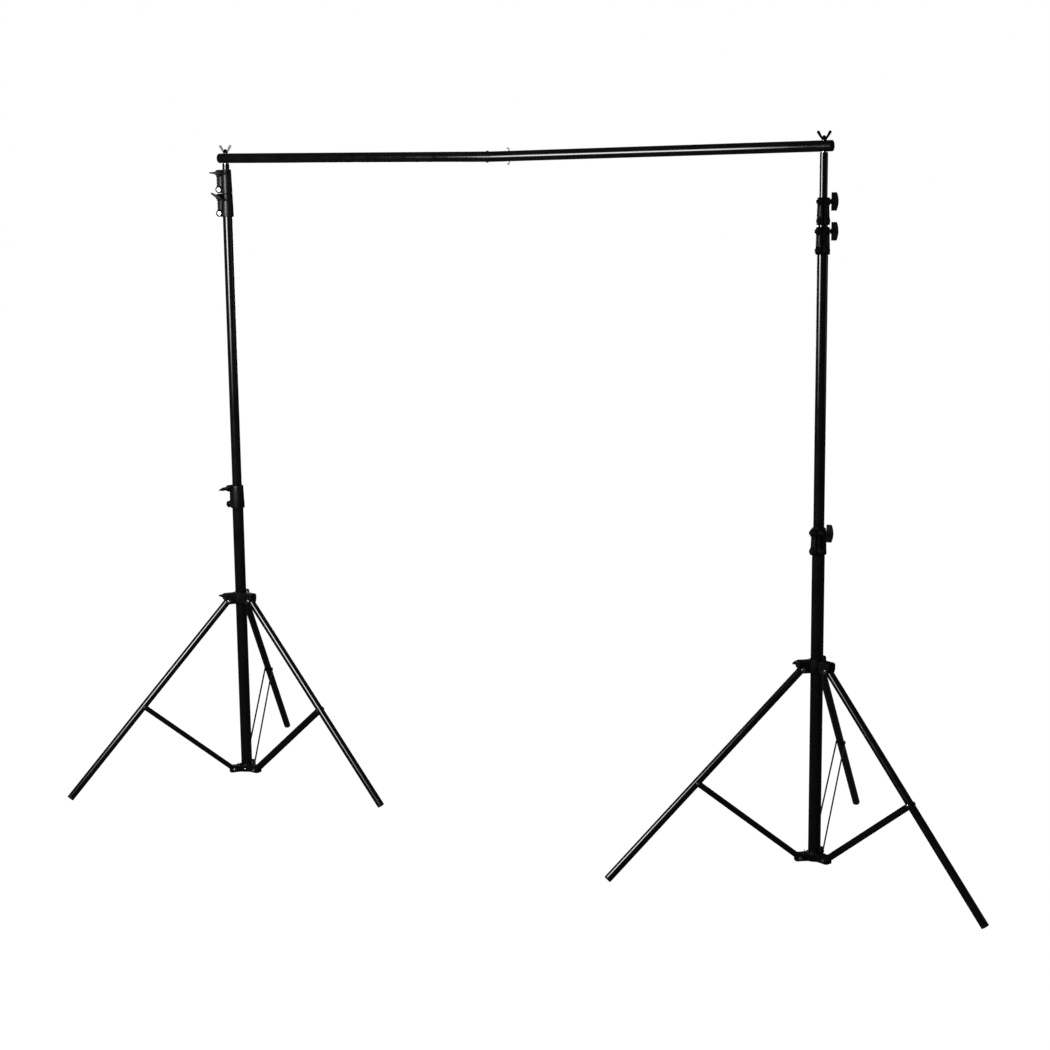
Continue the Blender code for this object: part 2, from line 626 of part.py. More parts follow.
def clip_points():
    """Centre line of the joint's spring clip: straight through the bar, both ends curled over."""
    reach = BAR_RADIUS + CLIP_STAND_OFF
    curl = arc((-CLIP_CURL, reach), CLIP_CURL, 0, 150, 5)
    return [(x, -z) for x, z in curl[::-1]] + curl


def build_crossbar(root):
    place = add_empty("crossbar", root, (0, 0, BAR_AXIS_HEIGHT))
    half_length = BAR_LENGTH / 2
    cap = 4 * MM
    tube_end = half_length - cap - GAP
    sleeve = tube(SLEEVE_RADIUS, SLEEVE_WALL, -SLEEVE_LENGTH / 2, SLEEVE_LENGTH / 2, ALONG_X)
    holes = []
    for x, radius in ((RIVET_X, RIVET_RADIUS), (CLIP_X, CLIP_RADIUS)):
        move = Matrix.Translation((x - BAR_SEAM_X, 0, 0))
        holes.append(rod(radius + 2.5 * GAP, -20 * MM, 20 * MM, move=move))
    sleeve = cut(sleeve, *holes)
    seam = (BAR_SEAM_X, 0, -BAR_SEAM_SAG)
    add_part("crossbar_joint_sleeve", sleeve, "zinc_steel", place, seam)
    plug = plug_mesh(BAR_RADIUS, BAR_WALL, cap)
    halves = (("left", -1, RIVET_X, RIVET_RADIUS), ("right", 1, CLIP_X, CLIP_RADIUS))
    for side, sign, fastener, radius in halves:
        stud_x = sign * STUD_SPACING / 2
        tilt = math.atan2(BAR_SEAM_SAG, abs(stud_x - BAR_SEAM_X))
        hinge = add_empty(f"{side}_half_axis", place, (stud_x, 0, 0), (0, -sign * tilt, 0))
        ends = (sign * tube_end - stud_x, BAR_SEAM_X + sign * GAP - stud_x)
        mesh = bar_half_mesh(*ends, 0, fastener - stud_x, radius + 1.5 * GAP)
        add_part(f"crossbar_{side}_half", mesh, "black_enamel", hinge)
        cap_place = (sign * tube_end - stud_x, 0, 0)
        facing = (0, sign * math.pi / 2, 0)
        add_part(f"crossbar_{side}_cap", plug, "black_plastic", hinge, cap_place, facing)
        if side == "left":
            head = BAR_RADIUS + GAP
            rivet = [(0, -head - 2.2 * MM), (2.6 * MM, -head - 1.8 * MM), (4 * MM, -head)]
            rivet += [(RIVET_RADIUS, -head), (RIVET_RADIUS, head), (4 * MM, head)]
            rivet += [(2.6 * MM, head + 1.8 * MM), (0, head + 2.2 * MM)]
            rivet_place = (fastener - stud_x, 0, 0)
            add_part("crossbar_rivet", turned(rivet, SMALL_SIDES), "black_enamel", hinge, rivet_place)
        else:
            add_clip(hinge, fastener - stud_x)


def add_clip(parent, x):
    """The spring clip, a round wire bent in one plane."""
    curve = bpy.data.curves.new("crossbar_clip", "CURVE")
    curve.dimensions = "3D"
    curve.bevel_depth = CLIP_RADIUS
    curve.bevel_resolution = 1
    curve.use_fill_caps = True
    points = clip_points()
    spline = curve.splines.new("POLY")
    spline.points.add(len(points) - 1)
    for point, (px, pz) in zip(spline.points, points):
        point.co = (px, 0, pz, 1)
    curve.materials.append(material("zinc_steel"))
    item = bpy.data.objects.new("crossbar_clip", curve)
    item.parent = parent
    item.location = (x, 0, 0)
    bpy.context.scene.collection.objects.link(item)


def shared_shapes():
    """The meshes that both stands use."""
    handles = []
    for half_width in BOSS_HALF_WIDTHS:
        stem_start = half_width + GAP
        handles.append(t_handle_mesh(-half_width - 4 * MM, stem_start))
    return {
        "hub": hub_mesh(),
        "foot_hub": foot_hub_mesh(),
        "lock": t_handle_mesh(TUBE_RADII[0] + 2 * GAP, LOCK_BOSS_END + 3 * MM, HANDLE_SPAN + 8 * MM),
        "collars": [collar_mesh(level) for level in range(3)],
        "handles": handles,
        "leg": leg_mesh(),
        "brace": brace_mesh(),
        "risers": [riser_mesh(level + 1, length) for level, length in enumerate(RISER_LENGTHS)],
        "stud": stud_mesh(),
        "wing_nut": wing_nut_mesh(),
        "column_plug": plug_mesh(TUBE_RADII[0], TUBE_WALLS[0], 2 * MM),
    }


def centre_over_origin(root):
    """Moves the whole set so that its bounding box is centred on the Z axis and stands on Z = 0."""
    bpy.context.view_layer.update()
    places = []
    for item in bpy.context.scene.objects:
        if item.type == "MESH":
            places += [item.matrix_world @ vertex.co for vertex in item.data.vertices]
    middle = [(min(p[k] for p in places) + max(p[k] for p in places)) / 2 for k in (0, 1)]
    root.location = (-middle[0], -middle[1], 0)
    bpy.context.view_layer.update()


def main():
    clear_scene()
    root = add_empty("backdrop_support")
    shapes = shared_shapes()
    for side, stand in STANDS.items():
        build_stand(side, stand, root, shapes)
    build_crossbar(root)
    centre_over_origin(root)


main()
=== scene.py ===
"""Looks of the backdrop support: two folding light stands that carry a two-piece round crossbar.

Every CAD solid is replaced by a finer piece in the same place, which rides on the same body. Places
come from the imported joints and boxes. Metres, +Z up, crossbar along X, floor at Z = 0.
"""

import json
import math

import bmesh
import bpy
from mathutils import Matrix, Vector


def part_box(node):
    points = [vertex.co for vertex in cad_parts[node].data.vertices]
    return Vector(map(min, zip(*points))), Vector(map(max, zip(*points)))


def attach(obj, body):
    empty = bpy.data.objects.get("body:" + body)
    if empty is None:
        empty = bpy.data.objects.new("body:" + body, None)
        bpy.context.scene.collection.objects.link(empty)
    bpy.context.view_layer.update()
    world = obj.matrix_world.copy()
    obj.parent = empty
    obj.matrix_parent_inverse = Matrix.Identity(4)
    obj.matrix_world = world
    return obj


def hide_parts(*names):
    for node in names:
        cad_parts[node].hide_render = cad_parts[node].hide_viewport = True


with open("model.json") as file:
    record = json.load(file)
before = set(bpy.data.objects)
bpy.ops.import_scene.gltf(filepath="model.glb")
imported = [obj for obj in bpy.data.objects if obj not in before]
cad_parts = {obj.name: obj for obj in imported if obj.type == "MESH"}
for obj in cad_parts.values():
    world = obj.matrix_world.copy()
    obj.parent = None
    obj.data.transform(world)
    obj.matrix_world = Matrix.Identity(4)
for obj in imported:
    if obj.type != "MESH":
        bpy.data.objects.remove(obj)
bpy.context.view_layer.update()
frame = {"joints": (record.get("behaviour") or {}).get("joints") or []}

MM = 0.001
JOINTS = {joint["name"]: joint for joint in frame["joints"]}

# Crossbar
BAR_AXIS_HEIGHT = 2000 * MM
BAR_RADIUS = 15 * MM
BAR_WALL = 1.3 * MM
BAR_SEAM_X = -30 * MM
BAR_SEAM_SAG = 11 * MM
BAR_END_OVER_STUD = 25 * MM
BAR_CAP = 4 * MM
SLEEVE_RADIUS = 12.4 * MM
SLEEVE_WALL = 1.2 * MM
SLEEVE_LENGTH = 150 * MM
RIVET_X = -43 * MM
CLIP_X = 28 * MM
RIVET_RADIUS = 2.5 * MM
CLIP_RADIUS = 1.4 * MM
CLIP_STAND_OFF = 5 * MM
CLIP_CURL = 3.2 * MM
GAP = 0.3 * MM

# Telescoping columns, from the base column to the top riser
TUBE_RADII = (17.5 * MM, 15 * MM, 13 * MM, 11 * MM)
TUBE_WALLS = (1.3 * MM, 1.2 * MM, 1.1 * MM, 1.1 * MM)
BUSH_LENGTH = 28 * MM

# Clamp collars and their T-handles
COLLAR_HEIGHT = 73 * MM
COLLAR_STEP = 36.5 * MM
COLLAR_WALL = 4.7 * MM
EAR_REACH = 31 * MM
EAR_HALF_WIDTH = 8 * MM
EAR_NOTCH_STEP = 9 * MM
EAR_NOTCH_HALF_HEIGHT = 3 * MM
SLOT_WIDTH = 3 * MM
BOLT_OFFSET = 22.5 * MM
BOLT_INSET = 11 * MM
BOSS_RADIUS = 10.5 * MM
BOSS_HALF_WIDTHS = (20 * MM, 18.5 * MM, 16.5 * MM)
BOLT_RADIUS = 3 * MM
BOLT_CLEARANCE = 0.8 * MM
NUT_RECESS_RADIUS = 6.3 * MM
NUT_RECESS = 2.4 * MM
HANDLE_SPAN = 49 * MM
LOCK_HANDLE_SPAN = 57 * MM
HANDLE_DEPTH = 19 * MM
HANDLE_ROOT = 5.5 * MM
HANDLE_TIP = 1.8 * MM
STEM_RADIUS = 6.5 * MM
STEM_LENGTH = 3 * MM
HANDLE_TURNS = {
    "left": [math.radians(a) for a in (8, -36, -10)],
    "right": [math.radians(a) for a in (80, 86, 92)],
}
LOCK_TURNS = {"left": math.radians(6), "right": math.radians(0)}
NUT_TURNS = {"left": math.radians(20), "right": math.radians(12)}
# Collars whose lower nuts are zinc; the same nuts on the other collars are dark steel, painted shade
# where they sat out of the light.
LIT_NUTS = {"left": (2, 3), "right": ()}

# Legs, braces and hubs
LEG_LENGTH = 793 * MM
LEG_RADIUS = 11 * MM
LEG_WALL = 1.2 * MM
LEG_HEAD = 9 * MM
LEG_PIVOT_RADIUS = 43 * MM
LEG_TO_BRACE = 428 * MM
BRACE_LENGTH = 376 * MM
BRACE_PIVOT_RADIUS = 45 * MM
FOOT_FLAT_DEPTH = 1.6 * MM
FOOT_THICKNESS = 5 * MM
HUB_BELOW = 10 * MM
HUB_ABOVE = 24 * MM
HUB_SLEEVE_RADIUS = 24 * MM
HUB_LOBE_REACH = 58 * MM
HUB_LOBE_HALF_WIDTH = 15 * MM
HUB_SLOT_HALF_WIDTH = 11.6 * MM
HUB_ROOF = 4 * MM
HUB_END_WALL = 3 * MM
HUB_END_CLEAR = 4.5 * MM
HUB_WEB_RADIUS = 27 * MM
HUB_CORNER = 6 * MM
HUB_RIM = 2.5 * MM
PIVOT_PIN_RADIUS = 4 * MM
LOCK_AZIMUTH = math.radians(-46)
LOCK_HEIGHT = 7 * MM
LOCK_BOSS_END = 42 * MM
LOCK_BOSS_RADIUS = 8 * MM
FOOT_HUB_HALF_HEIGHT = 10 * MM
FOOT_HUB_REACH = 57 * MM
FOOT_HUB_LOBE_HALF_WIDTH = 13.4 * MM
FOOT_HUB_WEB_RADIUS = 26 * MM
FOOT_HUB_CORNER = 7 * MM
FOOT_POCKET_ENDS = (31 * MM, 40 * MM)
FOOT_POCKET_HALF_WIDTH = 7.5 * MM
FOOT_POCKET_DEPTH = 8 * MM
LUG_RADIUS = 29 * MM
LUG_HEIGHT = 13 * MM
LUG_HALF_WIDTH = 3 * MM
WEB_SCREWS = {"left": math.radians(60), "right": math.radians(180)}
STRIP_WIDTH = 14 * MM
STRIP_THICKNESS = 1.6 * MM
STRIP_INNER_TOP = 11.7 * MM
STRIP_INNER_BOTTOM = 13.9 * MM

# Stud and wing nut
STUD_RADIUS = 4 * MM
STUD_HOLE_RADIUS = 4.5 * MM
STUD_PITCH = 1.25 * MM
FLANGE_RADIUS = 9.5 * MM
FLANGE_THICKNESS = 2 * MM
NUT_HEIGHT = 10 * MM
NUT_RADIUS = 7.5 * MM
NUT_TIP_OFFSET = 15.5 * MM
NUT_TIP_HEIGHT = 21 * MM
NUT_TIP_RADIUS = 4 * MM
NUT_WING_HALF_THICKNESS = 2 * MM

# Camera: its place relative to the middle of the two studs at floor level, its turns, and its lens
CAMERA_PLACE = Vector((2.64084, -4.88651, 1.89424))
CAMERA_YAW = 0.482177
CAMERA_PITCH = -0.158492
CAMERA_ROLL = 0.010464
CAMERA_LENS = 64.971
CAMERA_SENSOR = 36.0
CAMERA_SHIFT = (-0.004348, -0.031139)

ALONG_X = Matrix.Rotation(math.pi / 2, 4, "Y")
ALONG_Y = Matrix.Rotation(-math.pi / 2, 4, "X")
UPRIGHT = Matrix.Rotation(math.pi / 2, 4, "X")

# Castings: rounds of smoothing, then each one's voxel size and about how many triangles it keeps
CAST_ROUNDS = 3
CASTINGS = {
    "hub": (0.8 * MM, 16000),
    "lower_hub": (0.75 * MM, 11000),
    "collar": (0.7 * MM, 9000),
    "t_handle": (0.55 * MM, 4200),
    "wing_nut": (0.4 * MM, 5000),
}

# Edges at a sharper turn than these are bevelled on the strips, and shaded as edges on every piece
BEVEL_ANGLE = math.radians(40)
SHARP_ANGLE = math.radians(38)

# Straight runs of a turned profile over this length get a point this near each end
LONG_RUN = 5 * MM
SUPPORT = 0.4 * MM

# Studio: the floor, the strength of the white that reflections see all round, and the soft boxes, each
# with its place, the point it faces, its width and height, its strength and the soft share of its edges
FLOOR_HALF_WIDTH = 20
FLOOR_BELOW = (-20 * MM, -0.5 * MM)
FLOOR_GLOW = 1.06
FLOOR_MATT_SHARE = 0.05
AMBIENT = 0.04
SOFT_BOXES = {
    "window": ((-0.85, -2.55, 1.82), (-0.2, 0, 1.5), (1.5, 1.75), 24, (0.22, 0.45)),
    "rear_window": ((-2.7, 3.4, 1.6), (0, 0, 1.2), (1.0, 2.0), 7, (0.2, 0.3)),
    "side_window": ((4.2, 1.4, 1.7), (0, 0, 1.2), (0.9, 2.0), 1, (0.2, 0.3)),
}


# ---------------------------------------------------------------- materials

# Colours are linear. "shine" is the specular level, "rough" the range of roughness, "mottle" and
# "grain" are noise scales per metre, and "depth" is the grain's height. "bare" shows where edges have
# rubbed, over the range of convexity in "rub". "streak" roughens in fine lines along Z, and beyond the
# distance "painted_shade_beyond" from its axis a casting's sheen is dulled and its roughness raised,
# which paints shade on the ears of the collars and the lobes of the hubs.
FINISHES = {
    "gloss_enamel": {
        "slot": "black_enamel", "shine": 0.5, "metallic": 0.0,
        "base": (0.0026, 0.0026, 0.0029), "tint": (0.0046, 0.0046, 0.005), "bare": (0.03, 0.03, 0.032),
        "rough": (0.09, 0.17), "mottle": 22, "grain": 520, "depth": 0.012 * MM, "rub": (0.6, 0.75),
        "streak": 0.5,
    },
    "satin_casting": {
        "slot": "black_casting", "shine": 0.3, "metallic": 0.0,
        "base": (0.003, 0.003, 0.0034), "tint": (0.0058, 0.0058, 0.0062), "bare": (0.03, 0.03, 0.032),
        "rough": (0.3, 0.4), "mottle": 60, "grain": 900, "depth": 0.03 * MM, "rub": (0.6, 0.76),
        # Beyond this distance from the axis the sheen is dulled: painted shade on the collar ears and
        # hub lobes.
        "painted_shade_beyond": 19.5 * MM,
    },
    "moulded_plastic": {
        "slot": "black_plastic", "shine": 0.12, "metallic": 0.0,
        "base": (0.0045, 0.0045, 0.005), "tint": (0.0075, 0.0075, 0.008), "bare": (0.035, 0.035, 0.037),
        "rough": (0.36, 0.5), "mottle": 90, "grain": 1500, "depth": 0.025 * MM, "rub": (0.6, 0.78),
    },
    "foot_rubber": {
        "slot": "black_plastic", "shine": 0.3, "metallic": 0.0,
        "base": (0.008, 0.008, 0.008), "tint": (0.02, 0.0195, 0.019), "bare": (0.05, 0.048, 0.045),
        "rough": (0.6, 0.8), "mottle": 130, "grain": 1300, "depth": 0.05 * MM, "rub": (0.55, 0.7),
    },
    "zinc_plate": {
        "slot": "zinc_steel", "shine": 0.5, "metallic": 1.0,
        "base": (0.5, 0.5, 0.49), "tint": (0.36, 0.36, 0.35), "bare": (0.7, 0.7, 0.69),
        "rough": (0.16, 0.28), "mottle": 150, "grain": 1400, "depth": 0.012 * MM, "rub": (0.55, 0.7),
        "streak": 0.3,
    },
    "spring_wire": {
        "slot": "zinc_steel", "shine": 0.5, "metallic": 1.0,
        "base": (0.02, 0.02, 0.02), "tint": (0.035, 0.035, 0.035), "bare": (0.3, 0.3, 0.29),
        "rough": (0.2, 0.32), "mottle": 150, "grain": 1400, "depth": 0.01 * MM, "rub": (0.6, 0.75),
    },
    "dark_steel": {
        "slot": "black_enamel", "shine": 0.5, "metallic": 1.0,
        "base": (0.03, 0.03, 0.031), "tint": (0.06, 0.06, 0.06), "bare": (0.35, 0.35, 0.34),
        "rough": (0.25, 0.42), "mottle": 150, "grain": 1400, "depth": 0.015 * MM, "rub": (0.55, 0.72),
    },
    "tumbled_zinc": {
        "slot": "die_cast", "shine": 0.5, "metallic": 1.0,
        "base": (0.022, 0.022, 0.0217), "tint": (0.012, 0.012, 0.0118), "bare": (0.3, 0.3, 0.295),
        "rough": (0.18, 0.3), "mottle": 220, "grain": 1200, "depth": 0.04 * MM, "rub": (0.56, 0.7),
    },
}


def add_node(tree, kind, settings=None, inputs=None):
    """A new shader node. Each input takes a plain value or another node's output."""
    made = tree.nodes.new("ShaderNode" + kind)
    for name, value in (settings or {}).items():
        setattr(made, name, value)
    for key, value in (inputs or {}).items():
        if isinstance(value, bpy.types.NodeSocket):
            tree.links.new(value, made.inputs[key])
        else:
            made.inputs[key].default_value = value
    return made


def mix_colours(tree, factor, first, second):
    """A colour between the two, each a linear triple or a socket."""
    values = [(*c, 1) if isinstance(c, tuple) else c for c in (first, second)]
    mixed = add_node(tree, "Mix", {"data_type": "RGBA"}, {0: factor, 6: values[0], 7: values[1]})
    return mixed.outputs[2]


def remap(tree, value, source, target):
    """The value moved from the source range to the target range."""
    limits = {"Value": value, "From Min": source[0], "From Max": source[1]}
    limits.update({"To Min": target[0], "To Max": target[1]})
    return add_node(tree, "MapRange", None, limits).outputs["Result"]


def math_node(tree, operation, first, second):
    """The result of an operation on two numbers or sockets."""
    return add_node(tree, "Math", {"operation": operation}, {0: first, 1: second}).outputs[0]


def noise_at(tree, place, scale, detail):
    """Noise between 0 and 1 at a place."""
    noise = add_node(tree, "TexNoise", None, {"Vector": place, "Scale": scale, "Detail": detail})
    return noise.outputs["Fac"]


def make_finish(name):
    """The finish as a node material, patterned in each piece's own coordinates."""
    spec = FINISHES[name]
    made = bpy.data.materials.new(name)
    made.use_nodes = True
    tree = made.node_tree
    shader = tree.nodes["Principled BSDF"]
    place = add_node(tree, "Attribute", {"attribute_name": "local"}).outputs["Vector"]
    mottle = noise_at(tree, place, spec["mottle"], 4.0)
    fine = noise_at(tree, place, spec["mottle"] * 6, 3.0)
    tinted = mix_colours(tree, remap(tree, mottle, (0.35, 0.68), (0, 1)), spec["base"], spec["tint"])
    convex = add_node(tree, "NewGeometry").outputs["Pointiness"]
    rubbed = remap(tree, convex, spec["rub"], (0, 1))
    rubbed = math_node(tree, "MULTIPLY", rubbed, remap(tree, fine, (0.4, 0.6), (0.1, 0.9)))
    tree.links.new(mix_colours(tree, rubbed, tinted, spec["bare"]), shader.inputs["Base Color"])
    low, high = spec["rough"]
    rough = remap(tree, mottle, (0.3, 0.7), (low, high))
    if "streak" in spec:
        stretch = add_node(tree, "Mapping", None, {"Vector": place, "Scale": (1, 1, 0.015)}).outputs[0]
        drawn = noise_at(tree, stretch, 900, 2.0)
        spread = spec["streak"] * (high - low)
        rough = math_node(tree, "ADD", rough, remap(tree, drawn, (0.45, 0.75), (0, spread)))
    shader.inputs["Specular IOR Level"].default_value = spec["shine"]
    # Past that distance from the axis the sheen drops and roughness rises, painting shade on the ears
    # and hub lobes.
    if "painted_shade_beyond" in spec:
        flat = add_node(tree, "VectorMath", {"operation": "MULTIPLY"}, {0: place, 1: (1, 1, 0)})
        away = add_node(tree, "VectorMath", {"operation": "LENGTH"}, {0: flat.outputs[0]})
        fade = (spec["painted_shade_beyond"], spec["painted_shade_beyond"] + 3 * MM)
        painted_shade_share = remap(tree, away.outputs["Value"], fade, (0, 1))
        rough = math_node(tree, "ADD", rough, math_node(tree, "MULTIPLY", painted_shade_share, 0.15))
        dull = remap(tree, painted_shade_share, (0, 1), (spec["shine"], 0.25 * spec["shine"]))
        tree.links.new(dull, shader.inputs["Specular IOR Level"])
    worn_rough = math_node(tree, "MULTIPLY", rubbed, 0.12)
    tree.links.new(math_node(tree, "ADD", rough, worn_rough), shader.inputs["Roughness"])
    grain = noise_at(tree, place, spec["grain"], 2.0)
    depth = {"Height": grain, "Distance": spec["depth"], "Strength": 1.0}
    tree.links.new(add_node(tree, "Bump", None, depth).outputs["Normal"], shader.inputs["Normal"])
    shader.inputs["Metallic"].default_value = spec["metallic"]
    return made


MATERIALS = {name: make_finish(name) for name in FINISHES}


# ---------------------------------------------------------------- shapes


def finished(bm, move=None):
    """The bmesh as a mesh whose faces point out, after an optional transform."""
    if move is not None:
        bm.transform(move)
    bmesh.ops.recalc_face_normals(bm, faces=bm.faces)
    mesh = bpy.data.meshes.new("shape")
    bm.to_mesh(mesh)
    bm.free()
    return mesh


def supported(profile, ring):
    """The profile with a point near each end of its long runs, which keeps their shading straight."""
    points = []
    for start, end in zip(profile, profile[1:] + profile[:1] if ring else profile[1:]):
        points.append(start)
        length = math.dist(start, end)
        if length > LONG_RUN:
            for share in (SUPPORT / length, 1 - SUPPORT / length):
                points.append(tuple(a + (b - a) * share for a, b in zip(start, end)))
    return points if ring else points + [profile[-1]]


def turned(profile, segments=48, ring=False, move=None):
    """A profile of (radius, z) points turned about Z. A ring's profile closes on itself."""
    bm = bmesh.new()
    rows = []
    for radius, z in supported(profile, ring):
        count = segments if radius > 0 else 1
        angles = [2 * math.pi * (i + 0.5) / segments for i in range(count)]
        rows.append([bm.verts.new((radius * math.cos(a), radius * math.sin(a), z)) for a in angles])
    pairs = list(zip(rows, rows[1:] + rows[:1] if ring else rows[1:]))
    for low, high in pairs:
        for i in range(segments):
            corners = [low[i % len(low)], low[(i + 1) % len(low)]]
            corners += [high[(i + 1) % len(high)], high[i % len(high)]]
            corners = list(dict.fromkeys(corners))
            if len(corners) > 2:
                bm.faces.new(corners)
    return finished(bm, move)


def rod(radius, low, high, segments=32, edge=0.0, move=None):
    """A solid round bar along Z, with its end edges broken."""
    profile = [(0, low), (radius, low), (radius, high), (0, high)]
    if edge:
        profile = [(0, low), (radius - edge, low), (radius - 0.3 * edge, low + 0.3 * edge)]
        profile += [(radius, low + edge), (radius, high - edge)]
        profile += [(radius - 0.3 * edge, high - 0.3 * edge), (radius - edge, high), (0, high)]
    return turned(profile, segments, move=move)


def tube(radius, wall, low, high, lip=0.4 * MM, move=None):
    """A hollow round tube along Z with softened ends."""
    inner = radius - wall
    profile = [(inner, low + lip), (inner + 0.3 * lip, low), (radius - lip, low)]
    profile += [(radius - 0.3 * lip, low + 0.3 * lip), (radius, low + lip), (radius, high - lip)]
    profile += [(radius - 0.3 * lip, high - 0.3 * lip), (radius - lip, high)]
    profile += [(inner + 0.3 * lip, high), (inner, high - lip)]
    return turned(profile, 64, ring=True, move=move)


def prism(outline, low, high, move=None):
    """An outline of (x, y) points extruded from low to high along Z."""
    bm = bmesh.new()
    base = [bm.verts.new((x, y, low)) for x, y in outline]
    top = [bm.verts.new((x, y, high)) for x, y in outline]
    bm.faces.new(base)
    bm.faces.new(top)
    for i, corner in enumerate(base):
        follows = (i + 1) % len(base)
        bm.faces.new([corner, base[follows], top[follows], top[i]])
    return finished(bm, move)


def block(x, y, z, move=None):
    """A box between the given pairs of limits."""
    outline = [(x[0], y[0]), (x[1], y[0]), (x[1], y[1]), (x[0], y[1])]
    return prism(outline, z[0], z[1], move)


def bevelled(mesh, width):
    """The mesh with its sharp edges broken."""
    bm = bmesh.new()
    bm.from_mesh(mesh)
    sharp = [e for e in bm.edges if len(e.link_faces) == 2 and e.calc_face_angle(0) > BEVEL_ANGLE]
    bmesh.ops.bevel(bm, geom=sharp, offset=width, segments=1, affect="EDGES")
    return finished(bm)


def arc(centre, radius, start, end, steps):
    """Points on an arc, with angles in degrees."""
    angles = [math.radians(start + (end - start) * i / steps) for i in range(steps + 1)]
    return [(centre[0] + radius * math.cos(a), centre[1] + radius * math.sin(a)) for a in angles]


def evaluated(mesh, add_modifiers, helpers=()):
    """The mesh after the modifiers that add_modifiers puts on its carrier object."""
    carrier = bpy.data.objects.new("carrier", mesh)
    scratch = [carrier, *helpers]
    add_modifiers(carrier)
    for item in scratch:
        bpy.context.scene.collection.objects.link(item)
    graph = bpy.context.evaluated_depsgraph_get()
    result = bpy.data.meshes.new_from_object(carrier.evaluated_get(graph))
    for item in scratch:
        bpy.data.objects.remove(item, do_unlink=True)
    return result


def boolean(mesh, operation, tools):
    """The mesh after joining or cutting it with each tool in turn."""
    helpers = [bpy.data.objects.new("helper", tool) for tool in tools]

    def add_modifiers(carrier):
        for helper in helpers:
            modifier = carrier.modifiers.new(operation, "BOOLEAN")
            modifier.operation = operation
            modifier.solver = "EXACT"
            modifier.object = helper

    return evaluated(mesh, add_modifiers, helpers)


def union(mesh, *tools):
    """The mesh joined with each tool into one skin."""
    return boolean(mesh, "UNION", tools)


def cut(mesh, *tools):
    """The mesh with each tool taken out of it."""
    return boolean(mesh, "DIFFERENCE", tools)


def cast(mesh, kind):
    """The shape as it comes out of a mould, with every edge rounded."""
    voxel, triangles = CASTINGS[kind]

    def add_rounding(carrier):
        remesh = carrier.modifiers.new("skin", "REMESH")
        remesh.mode = "VOXEL"
        remesh.voxel_size = voxel
        smooth = carrier.modifiers.new("round", "SMOOTH")
        smooth.factor = 0.5
        smooth.iterations = CAST_ROUNDS

    rounded = evaluated(mesh, add_rounding)
    share = triangles / (2 * len(rounded.polygons))

    def add_decimation(carrier):
        carrier.modifiers.new("thin", "DECIMATE").ratio = min(1.0, share)

    return evaluated(rounded, add_decimation)


def joined(*meshes):
    """One mesh that holds all the given ones."""
    bm = bmesh.new()
    for mesh in meshes:
        bm.from_mesh(mesh)
    whole = bpy.data.meshes.new("shape")
    bm.to_mesh(whole)
    bm.free()
    return whole


def spoke(angle):
    """A turn about Z."""
    return Matrix.Rotation(angle, 4, "Z")


def shift(x, y, z):
    """A move along the three axes."""
    return Matrix.Translation((x, y, z))


def add_piece(name, mesh, finish, body, nodes, place):
    """A named piece at its place, riding on a body and standing for the given CAD nodes."""
    mesh = mesh.copy()
    flat = [0.0] * (3 * len(mesh.vertices))
    mesh.vertices.foreach_get("co", flat)
    local = mesh.attributes.new("local", "FLOAT_VECTOR", "POINT")
    local.data.foreach_set("vector", flat)
    mesh.transform(place)
    mesh.materials.clear()
    mesh.materials.append(MATERIALS[finish])
    mesh.shade_smooth()
    mesh.set_sharp_from_angle(angle=SHARP_ANGLE)
    piece = bpy.data.objects.new(name, mesh)
    bpy.context.scene.collection.objects.link(piece)
    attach(piece, body)
    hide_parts(*nodes)


def leg_azimuths():
    """The bearings of the three legs from the first one."""
    return [math.radians(120) * i for i in range(3)]


def lobed_outline(reach, half_width, web_radius, corner):
    """Plan of a three-lobed hub: blunt lobes with rounded corners, joined by hollow curves."""
    points = []
    side_start = web_radius + 6 * MM
    for azimuth in leg_azimuths():
        lobe = [(side_start, -half_width)]
        lobe += arc((reach - corner, -half_width + corner), corner, -90, 0, 6)
        lobe += arc((reach - corner, half_width - corner), corner, 0, 90, 6)
        lobe += [(side_start, half_width)]
        for degrees in (35, 43, 51, 60, 69, 77, 85):
            angle = math.radians(degrees)
            lobe.append((web_radius * math.cos(angle), web_radius * math.sin(angle)))
        turn = spoke(azimuth)
        for x, y in lobe:
            place = turn @ Vector((x, y, 0))
            points.append((place.x, place.y))
    return points


